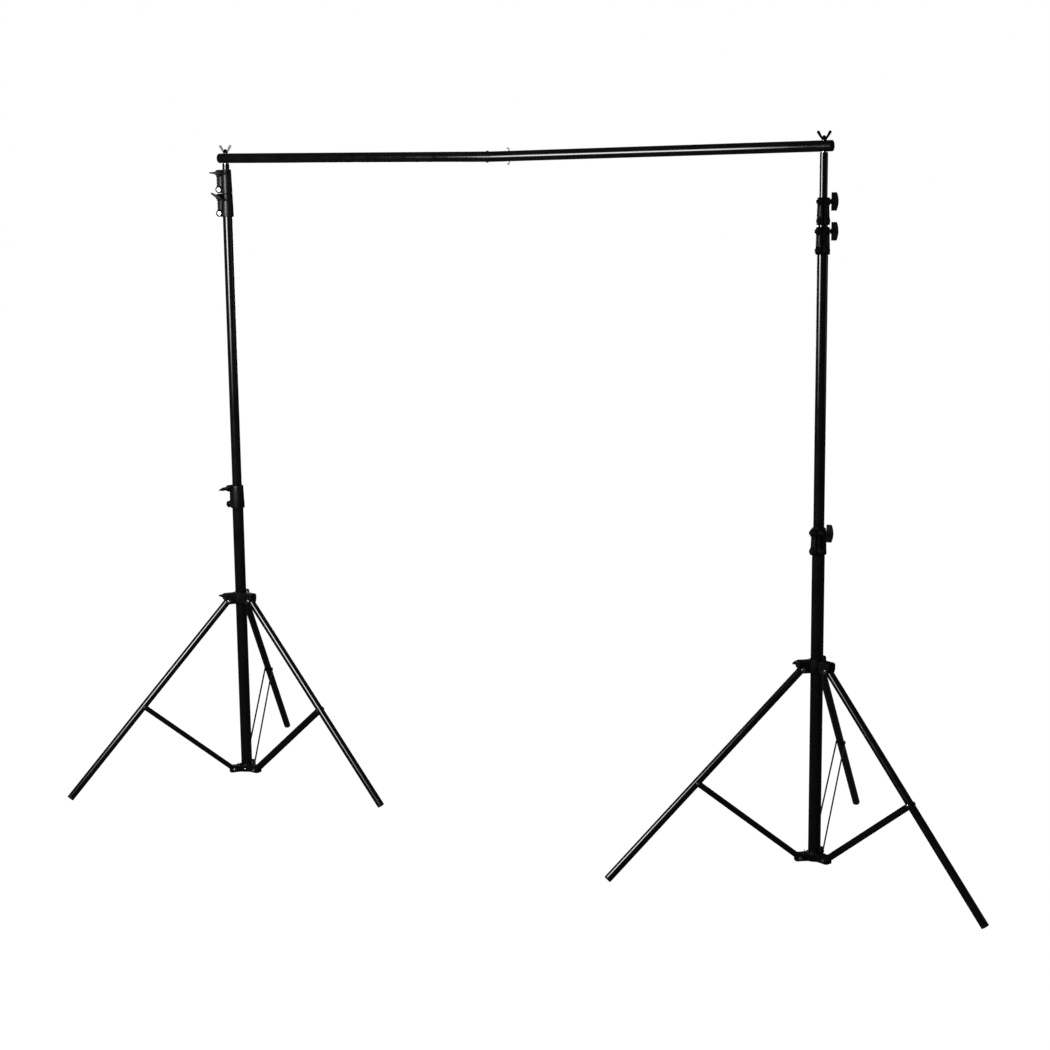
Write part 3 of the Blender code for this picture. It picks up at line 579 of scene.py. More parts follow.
def hub_mesh():
    """Sliding leg hub: three forks, open below, with a boss for the lock screw and a rim on top."""
    outline = lobed_outline(HUB_LOBE_REACH, HUB_LOBE_HALF_WIDTH, HUB_WEB_RADIUS, HUB_CORNER)
    body = prism(outline, -HUB_BELOW, HUB_ABOVE)
    bm = bmesh.new()
    bm.from_mesh(body)
    rim = [e for e in bm.edges if all(v.co.z > HUB_ABOVE - GAP for v in e.verts)]
    bmesh.ops.bevel(bm, geom=rim, offset=HUB_RIM, segments=3, affect="EDGES")
    body = finished(bm)
    lock_turn = spoke(LOCK_AZIMUTH) @ shift(0, 0, LOCK_HEIGHT) @ ALONG_X
    body = union(body, rod(LOCK_BOSS_RADIUS, 20 * MM, LOCK_BOSS_END, move=lock_turn))
    body = union(body, rod(HUB_SLEEVE_RADIUS - 1.5 * MM, -MM, HUB_ABOVE + 1.5 * MM, 48))
    tools = [rod(TUBE_RADII[0] + GAP, -HUB_BELOW - MM, HUB_ABOVE + 3 * MM, 64)]
    tools.append(rod(BOLT_RADIUS + 0.4 * MM, 0, LOCK_BOSS_END + MM, move=lock_turn))
    swing = [(LEG_PIVOT_RADIUS - 0.5 * MM, -HUB_BELOW - MM)]
    swing += arc((LEG_PIVOT_RADIUS, 0), HUB_BELOW, -88, -12, 6)
    end_wall = HUB_LOBE_REACH - HUB_END_WALL - MM
    swing += [(end_wall, HUB_END_CLEAR), (HUB_LOBE_REACH + MM, HUB_END_CLEAR)]
    swing.append((HUB_LOBE_REACH + MM, -HUB_BELOW - MM))
    for azimuth in leg_azimuths():
        turn = spoke(azimuth)
        slot_x = (HUB_SLEEVE_RADIUS + 0.5 * MM, HUB_LOBE_REACH - HUB_END_WALL)
        slot_y = (-HUB_SLOT_HALF_WIDTH, HUB_SLOT_HALF_WIDTH)
        tools.append(block(slot_x, slot_y, (-HUB_BELOW - MM, HUB_ABOVE - HUB_ROOF), turn))
        tools.append(prism(swing, -20 * MM, 20 * MM, turn @ UPRIGHT))
    return cast(cut(body, *tools), "hub")


def foot_hub_mesh():
    """Lower hub fixed to the column: a lobe for each brace and a pointed stop lug beside it."""
    half = FOOT_HUB_HALF_HEIGHT
    lobe_half = FOOT_HUB_LOBE_HALF_WIDTH
    outline = lobed_outline(FOOT_HUB_REACH, lobe_half, FOOT_HUB_WEB_RADIUS, FOOT_HUB_CORNER)
    body = prism(outline, -half, half)
    collar = rod(TUBE_RADII[0] + 3.5 * MM, -half + MM, half + 3 * MM, 64)
    lug = [(LUG_RADIUS - LUG_HALF_WIDTH, 0), (LUG_RADIUS + LUG_HALF_WIDTH, 0)]
    lug.append((LUG_RADIUS, half + LUG_HEIGHT))
    lugs = [prism(lug, -2 * MM, 2 * MM, spoke(a) @ UPRIGHT) for a in leg_azimuths()]
    bore = rod(TUBE_RADII[0] + GAP, -half - MM, half + 10 * MM, 64)
    pocket_y = (-FOOT_POCKET_HALF_WIDTH, FOOT_POCKET_HALF_WIDTH)
    pocket_z = (-half - MM, -half + FOOT_POCKET_DEPTH)
    pockets = [block(FOOT_POCKET_ENDS, pocket_y, pocket_z, spoke(a)) for a in leg_azimuths()]
    return cast(cut(union(body, collar, *lugs), bore, *pockets), "lower_hub")


def collar_mesh(level):
    """Split clamp collar. The lower half sits on one tube, the upper half grips the next one."""
    below, above = TUBE_RADII[level], TUBE_RADII[level + 1]
    boss_half = BOSS_HALF_WIDTHS[level]
    profile = [(0, 0), (below + COLLAR_WALL - 0.8 * MM, 0), (below + COLLAR_WALL, 0.8 * MM)]
    profile += [(above + COLLAR_WALL, COLLAR_HEIGHT - 1.5 * MM)]
    profile += [(above + COLLAR_WALL - 1.5 * MM, COLLAR_HEIGHT), (0, COLLAR_HEIGHT)]
    sleeve = turned(profile, 64)
    top, bottom = COLLAR_HEIGHT - BOLT_INSET, BOLT_INSET
    middle = COLLAR_HEIGHT / 2
    plate = [(0, 3 * MM), (BOLT_OFFSET, 3 * MM), (EAR_REACH, bottom)]
    for notch in (middle - EAR_NOTCH_STEP, middle, middle + EAR_NOTCH_STEP):
        plate += [(EAR_REACH - MM, notch - EAR_NOTCH_HALF_HEIGHT), (EAR_REACH - 3 * MM, notch)]
        plate.append((EAR_REACH - MM, notch + EAR_NOTCH_HALF_HEIGHT))
    plate += [(EAR_REACH, top), (BOLT_OFFSET, COLLAR_HEIGHT - 3 * MM), (0, COLLAR_HEIGHT - 3 * MM)]
    ear = prism(plate, -EAR_HALF_WIDTH, EAR_HALF_WIDTH, UPRIGHT)
    bosses, holes = [], []
    for height in (top, bottom):
        across = shift(BOLT_OFFSET, 0, height) @ ALONG_Y
        bosses.append(rod(BOSS_RADIUS, -boss_half, boss_half, 40, move=across))
        holes.append(rod(BOLT_RADIUS + BOLT_CLEARANCE, -30 * MM, 30 * MM, move=across))
    holes.append(rod(NUT_RECESS_RADIUS, boss_half - NUT_RECESS, 30 * MM, 40, move=across))
    body = union(sleeve, ear, *bosses)
    tools = [rod(below + GAP, -MM, COLLAR_STEP, 64), rod(above + GAP, 0, COLLAR_HEIGHT + MM, 64)]
    half_slot = SLOT_WIDTH / 2
    split = block((0, EAR_REACH + 9 * MM), (-half_slot, half_slot), (-MM, COLLAR_HEIGHT + MM))
    return cast(cut(body, split, *tools, *holes), "collar")


def handle_outline(span, root, tip):
    """Face of a T-handle: thick in the middle, swept a little, tapering to round tips."""
    half = span / 2
    upper, lower = [], []
    steps = 16
    for i in range(steps + 1):
        along = -half + tip + (span - 2 * tip) * i / steps
        share = abs(along) / half
        thick = tip + (root - tip) * (1 - share) ** 1.5
        sweep = 2.5 * MM * math.sin(math.pi * along / span)
        upper.append((along, sweep + thick))
        lower.append((along, sweep - thick))
    tips = arc((half - tip, (upper[-1][1] + lower[-1][1]) / 2), tip, 60, -60, 4)
    back = arc((-half + tip, (upper[0][1] + lower[0][1]) / 2), tip, -120, -240, 4)
    return upper + tips + lower[::-1] + back


def t_handle_mesh(stem_start, span):
    """Moulded T-handle on its stem, with its back curved outward."""
    base = stem_start + STEM_LENGTH
    handle = prism(handle_outline(span, HANDLE_ROOT, HANDLE_TIP), base, base + HANDLE_DEPTH)
    radius = 1.35 * span
    dome = rod(radius, -20 * MM, 20 * MM, 160)
    dome.transform(shift(0, 0, base + HANDLE_DEPTH - radius) @ ALONG_Y)
    handle = boolean(handle, "INTERSECT", [dome])
    stem = rod(STEM_RADIUS, stem_start, base + 4 * MM, 40)
    return cast(union(handle, stem), "t_handle")


def hex_head(radius, low, high):
    """A hexagon head along Z with its outer corners turned down, seated on a thin washer."""
    washer = rod(radius * 1.12, low, low + 0.9 * MM, 40, 0.2 * MM)
    flats = turned([(0, low), (radius, low), (radius, high), (0, high)], 6)
    crown = [(0, low), (radius * 1.02, low), (radius * 1.02, high - 0.8 * MM)]
    crown += [(radius * 0.84, high), (0, high)]
    return joined(washer, boolean(flats, "INTERSECT", [turned(crown, 48)]))


def pan_head(radius, low, high):
    """A domed screw head along Z with a cross recess."""
    height = high - low
    profile = [(0, low), (radius, low), (radius, low + 0.35 * height)]
    profile += [(radius * 0.86, low + 0.75 * height), (radius * 0.55, low + 0.95 * height), (0, high)]
    slot = 0.16 * radius
    arms = [block((-0.55 * radius, 0.55 * radius), (-slot, slot), (low + 0.45 * height, high + MM))]
    arms.append(block((-slot, slot), (-0.55 * radius, 0.55 * radius), (low + 0.45 * height, high + MM)))
    return cut(turned(profile, 32), *arms)


def flipped(mesh):
    """The mesh turned end over end about X."""
    mesh.transform(Matrix.Rotation(math.pi, 4, "X"))
    return mesh


def leg_mesh():
    """Leg tube hanging down from its pivot, with a plugged upper end."""
    inner, lip = LEG_RADIUS - LEG_WALL, 0.5 * MM
    end = LEG_LENGTH - FOOT_THICKNESS
    profile = [(0, LEG_HEAD - 2 * MM), (inner, LEG_HEAD - 2 * MM), (inner, -end + lip)]
    profile += [(inner + 0.3 * lip, -end), (LEG_RADIUS - lip, -end), (LEG_RADIUS, -end + lip)]
    profile += [(LEG_RADIUS, LEG_HEAD - MM), (LEG_RADIUS - 0.3 * MM, LEG_HEAD - 0.3 * MM)]
    profile += [(LEG_RADIUS - MM, LEG_HEAD), (0, LEG_HEAD)]
    return turned(profile, 48)


def leg_bolt_mesh():
    """Pivot bolt of a leg, along Y: pan head on one side, nut on the other."""
    half = HUB_LOBE_HALF_WIDTH + GAP
    shank = rod(PIVOT_PIN_RADIUS, -half, half, 24)
    washer = rod(7 * MM, half, half + 0.9 * MM, 40, 0.2 * MM)
    head = joined(washer, pan_head(6 * MM, half + 0.8 * MM, half + 3.6 * MM))
    nut = flipped(hex_head(6 * MM, half, half + 3.5 * MM))
    whole = joined(shank, head, nut)
    whole.transform(ALONG_Y)
    return whole


def foot_mesh(hub_height, spread):
    """Rubber end plug of a leg, cut off level where it meets the floor."""
    stem = LEG_RADIUS - LEG_WALL - GAP
    top = -(LEG_LENGTH - FOOT_THICKNESS) - GAP
    profile = [(0, top + 20 * MM), (stem - MM, top + 20 * MM), (stem, top + 18 * MM), (stem, top)]
    profile += [(LEG_RADIUS - 0.5 * MM, top), (LEG_RADIUS, top - 0.5 * MM)]
    profile += [(LEG_RADIUS, top - 2 * MM), (LEG_RADIUS - 0.4 * MM, top - 2.3 * MM)]
    profile += [(LEG_RADIUS, top - 2.6 * MM), (LEG_RADIUS, -LEG_LENGTH + 0.6 * MM)]
    profile += [(LEG_RADIUS - 0.6 * MM, -LEG_LENGTH), (0, -LEG_LENGTH)]
    bm = bmesh.new()
    bm.from_mesh(turned(profile, 48))
    floor_point = (0, 0, -hub_height / math.cos(spread))
    floor_normal = (-math.sin(spread), 0, -math.cos(spread))
    whole = bm.verts[:] + bm.edges[:] + bm.faces[:]
    sliced = bmesh.ops.bisect_plane(
        bm, geom=whole, plane_co=floor_point, plane_no=floor_normal, clear_outer=True
    )
    seam = [item for item in sliced["geom_cut"] if isinstance(item, bmesh.types.BMEdge)]
    bmesh.ops.holes_fill(bm, edges=seam)
    return finished(bm)


def brace_meshes():
    """A brace's pair of flat strips, then its lower bolt and upper rivets, standing on Z = 0."""
    half = STRIP_WIDTH / 2
    outline = arc((0, 0), half, 180, 360, 12) + arc((0, BRACE_LENGTH), half, 0, 180, 12)
    lean = (STRIP_INNER_TOP - STRIP_INNER_BOTTOM) / BRACE_LENGTH
    strips, fixings = [], []
    for side in (-1, 1):
        inner, outer = STRIP_INNER_BOTTOM, STRIP_INNER_BOTTOM + STRIP_THICKNESS
        strip = prism(outline, min(side * inner, side * outer), max(side * inner, side * outer), UPRIGHT)
        strip = bevelled(strip, 0.35 * MM)
        for vertex in strip.vertices:
            vertex.co.y -= side * lean * vertex.co.z
        strips.append(strip)
        facing = Matrix.Rotation(-side * math.pi / 2, 4, "X")
        low = outer
        head = pan_head(5 * MM, low, low + 3 * MM) if side < 0 else hex_head(5 * MM, low, low + 3 * MM)
        head.transform(facing)
        fixings.append(head)
        low = STRIP_INNER_TOP + STRIP_THICKNESS
        dome = [(0, low), (4.4 * MM, low), (4 * MM, low + 0.9 * MM), (2.6 * MM, low + 1.6 * MM)]
        rivet = turned(dome + [(0, low + 1.9 * MM)], 32)
        rivet.transform(shift(0, 0, BRACE_LENGTH) @ facing)
        fixings.append(rivet)
    reach = STRIP_INNER_BOTTOM + STRIP_THICKNESS
    fixings.append(rod(3 * MM, -reach, reach, 24, move=ALONG_Y))
    return joined(*strips), joined(*fixings)


def clamp_bolt_mesh(level):
    """Bolt of a T-handle, along Z, with its nut beyond the far boss."""
    half = BOSS_HALF_WIDTHS[level]
    shank = rod(BOLT_RADIUS, -half - 3.4 * MM, half + 2 * MM, 24, 0.4 * MM)
    return joined(shank, flipped(hex_head(5.6 * MM, half, half + 3.4 * MM)))


def lower_bolt_mesh(level):
    """Plain bolt through a collar's lower bosses, along Z, with its nut sunk in on the handle's side."""
    half = BOSS_HALF_WIDTHS[level]
    seat = half - NUT_RECESS + 0.2 * MM
    shank = rod(BOLT_RADIUS, -half, seat + 3.4 * MM, 24, 0.4 * MM)
    nut = hex_head(5.2 * MM, seat, seat + 3.1 * MM)
    return joined(shank, nut, flipped(pan_head(5.6 * MM, half, half + 3 * MM)))


def thread(radius, low, high, pitch):
    """Profile of a thread's crests and roots between two heights."""
    points, z = [], low
    while z < high - pitch:
        points += [(radius, z + 0.1 * pitch), (radius - 0.55 * pitch, z + 0.5 * pitch)]
        points.append((radius, z + 0.9 * pitch))
        z += pitch
    return points


def stud_mesh():
    """Threaded stud, measured from the underside of the bar: plug, flange and threaded shank."""
    plug = TUBE_RADII[3] - TUBE_WALLS[3] - GAP
    top = 2 * BAR_RADIUS + NUT_HEIGHT + 3 * MM
    low = -FLANGE_THICKNESS - GAP
    profile = [(0, low - 25 * MM), (plug - MM, low - 25 * MM), (plug, low - 24 * MM), (plug, low)]
    profile += [(FLANGE_RADIUS - 0.4 * MM, low), (FLANGE_RADIUS, low + 0.4 * MM)]
    profile += [(FLANGE_RADIUS, -GAP - 0.4 * MM), (FLANGE_RADIUS - 0.4 * MM, -GAP), (STUD_RADIUS, -GAP)]
    profile += thread(STUD_RADIUS, 2 * MM, top - MM, STUD_PITCH)
    profile += [(STUD_RADIUS - MM, top), (0, top)]
    return turned(profile, 32)


def wing_nut_mesh():
    """Die-cast wing nut standing on Z = 0, with both wings spread along X."""
    profile = [(STUD_RADIUS + GAP, 0), (NUT_RADIUS, 0), (NUT_RADIUS, 2 * MM)]
    profile += [(NUT_RADIUS - 2 * MM, NUT_HEIGHT), (STUD_RADIUS + GAP, NUT_HEIGHT)]
    body = turned(profile, 48, ring=True)
    tip = (NUT_TIP_OFFSET, NUT_TIP_HEIGHT)
    wing = [(STUD_RADIUS + 1.6 * MM, 1.5 * MM), (NUT_RADIUS + 2 * MM, 5 * MM)]
    wing += arc(tip, NUT_TIP_RADIUS, -30, 150, 12)
    wing += [(STUD_RADIUS + 1.6 * MM, NUT_HEIGHT - MM)]
    wings = []
    for side in (0, math.pi):
        turn = spoke(side) @ UPRIGHT
        wings.append(prism(wing, -NUT_WING_HALF_THICKNESS, NUT_WING_HALF_THICKNESS, turn))
    return cast(union(body, *wings), "wing_nut")


def plug_mesh(radius, wall, dome):
    """End plug for a tube that ends at Z = 0: a stem down the tube and a rounded cap above it."""
    stem = radius - wall - GAP
    profile = [(0, -15 * MM), (stem - MM, -15 * MM), (stem, -14 * MM), (stem, GAP)]
    profile += [(radius - 0.3 * MM, GAP), (radius, GAP + 0.3 * MM)]
    corner, top = min(0.7 * dome, dome - 0.3 * MM), GAP + dome
    profile += arc((radius - corner, top - corner), corner, 0, 90, 6)
    profile += [(0.35 * radius, top), (0.3 * radius, top - 0.4 * MM), (0, top - 0.4 * MM)]
    return turned(profile, 64)


# ---------------------------------------------------------------- the two stands


def place_of(joint):
    """The point that a joint turns about or slides from."""
    return Vector(JOINTS[joint]["pos_m"])


def bearing(from_point, to_point):
    """The angle about Z at which one point sees the other."""
    return math.atan2(to_point.y - from_point.y, to_point.x - from_point.x)


def add_tube(name, node, body, radius, wall):
    """A fine tube that fills the height of the CAD one."""
    low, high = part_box(node)
    middle = (low + high) / 2
    mesh = tube(radius, wall, 0, high.z - low.z)
    add_piece(name, mesh, "gloss_enamel", body, [node], shift(middle.x, middle.y, low.z))


def build_legs(side, axis, shapes):
    """The stand's legs, feet and braces, each on the pivots of its own joints."""
    hub_height = place_of(f"{side}_leg_1_fold").z
    reach = math.hypot(LEG_LENGTH, LEG_RADIUS)
    spread = math.atan2(LEG_RADIUS, LEG_LENGTH) + math.acos((hub_height + FOOT_FLAT_DEPTH) / reach)
    out = LEG_PIVOT_RADIUS + LEG_TO_BRACE * math.sin(spread) - BRACE_PIVOT_RADIUS
    brace_lean = math.asin(out / BRACE_LENGTH)
    foot = foot_mesh(hub_height, spread)
    for number in (1, 2, 3):
        pivot = place_of(f"{side}_leg_{number}_fold")
        turn = spoke(bearing(axis, pivot))
        place = Matrix.Translation(pivot) @ turn @ Matrix.Rotation(-spread, 4, "Y")
        body = f"{side}_leg_{number}"
        add_piece(f"{side}_leg_tube_{number}", shapes["leg"], "gloss_enamel", body, [body], place)
        add_piece(f"{side}_leg_bolt_{number}", shapes["leg_bolt"], "zinc_plate", body, [body], place)
        node = f"{side}_foot_{number}"
        add_piece(f"{side}_rubber_foot_{number}", foot, "foot_rubber", body, [node], place)
        pivot = place_of(f"{side}_brace_{number}_fold")
        turn = spoke(bearing(axis, pivot))
        place = Matrix.Translation(pivot) @ turn @ Matrix.Rotation(brace_lean, 4, "Y")
        body = f"{side}_brace_{number}"
        strips, fixings = shapes["brace"], shapes["brace_fixings"]
        add_piece(f"{side}_brace_strips_{number}", strips, "gloss_enamel", body, [body], place)
        add_piece(f"{side}_brace_fixings_{number}", fixings, "zinc_plate", body, [body], place)


def build_hubs(side, axis, shapes):
    """The sliding hub with its lock knob, and the lower hub with its web screw."""
    pivot = place_of(f"{side}_leg_1_fold")
    turn = spoke(bearing(axis, pivot))
    place = shift(axis.x, axis.y, pivot.z) @ turn
    body, node = f"{side}_hub", f"{side}_leg_hub"
    add_piece(f"{side}_hub_casting", shapes["hub"], "satin_casting", body, [node], place)
    knob = JOINTS[f"{side}_hub_knob_turn"]
    outward = Vector(knob["axis"])
    facing = spoke(math.atan2(outward.y, outward.x)) @ ALONG_X
    place = Matrix.Translation(knob["pos_m"]) @ facing @ spoke(math.pi / 2 + LOCK_TURNS[side])
    body, node = f"{side}_knob", f"{side}_hub_knob"
    add_piece(f"{side}_lock_handle", shapes["lock"], "moulded_plastic", body, [node], place)
    add_piece(f"{side}_lock_bolt", shapes["lock_bolt"], "zinc_plate", body, [node], place)
    pivot = place_of(f"{side}_brace_1_fold")
    place = shift(axis.x, axis.y, pivot.z) @ turn
    body, node = f"{side}_base", f"{side}_lower_hub"
    add_piece(f"{side}_lower_hub_casting", shapes["foot_hub"], "satin_casting", body, [node], place)
    screw = place @ spoke(WEB_SCREWS[side]) @ shift(FOOT_HUB_WEB_RADIUS - 0.6 * MM, 0, 0) @ ALONG_X
    add_piece(f"{side}_web_screw", shapes["web_screw"], "zinc_plate", body, [node], screw)


def build_column(side, axis, shapes):
    """The base column, the three risers and their clamp collars."""
    column, plug = f"{side}_base_column", f"{side}_column_plug"
    bodies = [f"{side}_base", f"{side}_riser_1", f"{side}_riser_2", f"{side}_riser_3"]
    add_tube(f"{side}_column_tube", column, bodies[0], TUBE_RADII[0], TUBE_WALLS[0])
    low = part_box(column)[0].z
    place = shift(axis.x, axis.y, low) @ Matrix.Rotation(math.pi, 4, "X")
    add_piece(f"{side}_column_cap", shapes["column_cap"], "moulded_plastic", bodies[0], [plug], place)
    for level in range(3):
        number = level + 1
        riser, node = bodies[number], f"{side}_riser_{number}"
        add_tube(f"{side}_riser_tube_{number}", node, riser, TUBE_RADII[number], TUBE_WALLS[number])
        place = shift(axis.x, axis.y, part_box(node)[0].z)
        bush = shapes["bushes"][level]
        add_piece(f"{side}_guide_bush_{number}", bush, "moulded_plastic", riser, [node], place)
        build_collar(side, level, bodies[level], axis, shapes)
    place = shift(axis.x, axis.y, BAR_AXIS_HEIGHT - BAR_RADIUS)
    add_piece(f"{side}_threaded_stud", shapes["stud"], "zinc_plate", bodies[3], [f"{side}_stud"], place)
    place = Matrix.Translation(place_of(f"{side}_wing_nut_turn")) @ spoke(NUT_TURNS[side])
    body, node = f"{side}_nut", f"{side}_wing_nut"
    add_piece(f"{side}_wing_nut_casting", shapes["wing_nut"], "tumbled_zinc", body, [node], place)


def build_collar(side, level, tube_body, axis, shapes):
    """A clamp collar with its lower bolt, then its T-handle and clamp bolt, which turn together."""
    number = level + 1
    node = f"{side}_collar_{number}"
    spindle = place_of(f"{side}_clamp_{number}_turn")
    ear = bearing(axis, spindle)
    place = shift(axis.x, axis.y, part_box(node)[0].z) @ spoke(ear)
    casting = shapes["collars"][level]
    add_piece(f"{side}_collar_casting_{number}", casting, "satin_casting", tube_body, [node], place)
    across = place @ shift(BOLT_OFFSET, 0, BOLT_INSET) @ ALONG_Y
    bolt = shapes["lower_bolts"][level]
    # Zinc on the nuts listed as lit; dark steel on the same nuts elsewhere is painted shade.
    metal = "zinc_plate" if number in LIT_NUTS[side] else "dark_steel"
    add_piece(f"{side}_collar_bolt_{number}", bolt, metal, tube_body, [node], across)
    across = Matrix.Translation(spindle) @ spoke(ear) @ ALONG_Y @ spoke(HANDLE_TURNS[side][level])
    body, node = f"{side}_handle_{number}", f"{side}_clamp_handle_{number}"
    handle, bolt = shapes["handles"][level], shapes["clamp_bolts"][level]
    add_piece(f"{side}_t_handle_{number}", handle, "moulded_plastic", body, [node], across)
    add_piece(f"{side}_clamp_bolt_{number}", bolt, "dark_steel", body, [node], across)


def bush_mesh(level):
    """Plastic guide bush around the lower end of a riser."""
    inner, outer = TUBE_RADII[level] + 0.02 * MM, TUBE_RADII[level - 1] - TUBE_WALLS[level - 1] - GAP
    return tube(outer, outer - inner, 0, BUSH_LENGTH, 0.3 * MM)


def shared_shapes():
    """The meshes that both stands use."""
    strips, fixings = brace_meshes()
    handles = [t_handle_mesh(half + GAP, HANDLE_SPAN) for half in BOSS_HALF_WIDTHS]
    lock_stem = LOCK_BOSS_END + 3 * MM
    return {
        "hub": hub_mesh(),
        "foot_hub": foot_hub_mesh(),
        "web_screw": pan_head(3.4 * MM, 0, 2.4 * MM),
        "lock": t_handle_mesh(lock_stem, LOCK_HANDLE_SPAN),
        "lock_bolt": rod(BOLT_RADIUS, TUBE_RADII[0] + 2 * GAP, lock_stem + MM, 24, 0.4 * MM),
        "collars": [collar_mesh(level) for level in range(3)],
        "handles": handles,
        "clamp_bolts": [clamp_bolt_mesh(level) for level in range(3)],
        "lower_bolts": [lower_bolt_mesh(level) for level in range(3)],
        "leg": leg_mesh(),
        "leg_bolt": leg_bolt_mesh(),
        "brace": strips,
        "brace_fixings": fixings,
        "bushes": [bush_mesh(level) for level in (1, 2, 3)],
        "stud": stud_mesh(),
        "wing_nut": wing_nut_mesh(),
        "column_cap": plug_mesh(TUBE_RADII[0], TUBE_WALLS[0], 2 * MM),
    }


# ---------------------------------------------------------------- the crossbar


def bar_half_mesh(outer_end, inner_end, hole_x, hole_radius):
    """Half of the crossbar along X from its stud hole at 0, with a hole for the joint's fastener."""
    low, high = min(outer_end, inner_end), max(outer_end, inner_end)
    holes = [rod(STUD_HOLE_RADIUS, -20 * MM, 20 * MM, 32)]
    holes.append(rod(hole_radius, -20 * MM, 20 * MM, 24, move=shift(hole_x, 0, 0)))
    return cut(tube(BAR_RADIUS, BAR_WALL, low, high, 0.6 * MM, ALONG_X), *holes)


def clip_mesh():
    """The joint's spring clip: a round wire through the bar, both ends curled over."""
    reach = BAR_RADIUS + CLIP_STAND_OFF
    curl = arc((-CLIP_CURL, reach), CLIP_CURL, 0, 165, 12)
    points = [(x, -z) for x, z in curl[::-1]] + curl
    curve = bpy.data.curves.new("wire", "CURVE")
    curve.dimensions = "3D"
    curve.bevel_depth = CLIP_RADIUS
    curve.bevel_resolution = 4
    curve.use_fill_caps = True
    spline = curve.splines.new("POLY")
    spline.points.add(len(points) - 1)
    for point, (px, pz) in zip(spline.points, points):
        point.co = (px, 0, pz, 1)
    item = bpy.data.objects.new("wire", curve)
    bpy.context.scene.collection.objects.link(item)
    graph = bpy.context.evaluated_depsgraph_get()
    mesh = bpy.data.meshes.new_from_object(item.evaluated_get(graph))
    bpy.data.objects.remove(item, do_unlink=True)
    return mesh


def rivet_mesh():
    """Solid rivet through the bar, domed at both ends."""
    head = BAR_RADIUS + 0.1 * MM
    dome = [(RIVET_RADIUS, head), (4 * MM, head), (3.8 * MM, head + 0.8 * MM)]
    dome += [(2.8 * MM, head + 1.7 * MM), (1.4 * MM, head + 2.2 * MM), (0, head + 2.35 * MM)]
    return turned([(radius, -z) for radius, z in dome[::-1]] + dome, 32)


def build_crossbar():
    """Both halves with their caps, the joint's sleeve, rivet and clip. Returns the studs' middle."""
    studs = {"left": place_of("crossbar_swing"), "right": place_of("right_stand_swing")}
    middle = (studs["left"] + studs["right"]) / 2
    centre = shift(middle.x, middle.y, BAR_AXIS_HEIGHT)
    sleeve = tube(SLEEVE_RADIUS, SLEEVE_WALL, -SLEEVE_LENGTH / 2, SLEEVE_LENGTH / 2, move=ALONG_X)
    place = centre @ shift(BAR_SEAM_X, 0, -BAR_SEAM_SAG)
    add_piece("joint_sleeve", sleeve, "zinc_plate", "crossbar", ["crossbar_joint_sleeve"], place)
    cap = plug_mesh(BAR_RADIUS, BAR_WALL, BAR_CAP)
    fasteners = {"left": (RIVET_X, RIVET_RADIUS), "right": (CLIP_X, CLIP_RADIUS)}
    for side, sign in (("left", -1), ("right", 1)):
        stud_x = studs[side].x - middle.x
        tilt = math.atan2(BAR_SEAM_SAG, abs(stud_x - BAR_SEAM_X))
        hinge = centre @ shift(stud_x, 0, 0) @ Matrix.Rotation(-sign * tilt, 4, "Y")
        tube_end = sign * (BAR_END_OVER_STUD - BAR_CAP - GAP)
        seam_end = BAR_SEAM_X + sign * GAP - stud_x
        fastener, radius = fasteners[side]
        mesh = bar_half_mesh(tube_end, seam_end, fastener - stud_x, radius + 1.5 * GAP)
        half, end_cap = f"crossbar_{side}_half", f"crossbar_{side}_cap"
        add_piece(f"crossbar_tube_{side}", mesh, "gloss_enamel", "crossbar", [half], hinge)
        facing = hinge @ shift(tube_end, 0, 0) @ Matrix.Rotation(sign * math.pi / 2, 4, "Y")
        add_piece(f"crossbar_end_cap_{side}", cap, "moulded_plastic", "crossbar", [end_cap], facing)
        place = hinge @ shift(fastener - stud_x, 0, 0)
        if side == "left":
            add_piece("joint_rivet", rivet_mesh(), "dark_steel", "crossbar", ["crossbar_rivet"], place)
        else:
            clip = clip_mesh()
            add_piece("joint_spring_clip", clip, "spring_wire", "crossbar", ["crossbar_clip"], place)
    return middle


# ---------------------------------------------------------------- studio


def emission(name, strength):
    """A material that gives off white light."""
    made = bpy.data.materials.new(name)
    made.use_nodes = True
    tree = made.node_tree
    tree.nodes.clear()
    light = add_node(tree, "Emission", None, {"Color": (1, 1, 1, 1), "Strength": strength})
    shown = add_node(tree, "OutputMaterial")
    tree.links.new(light.outputs[0], shown.inputs["Surface"])
    return made


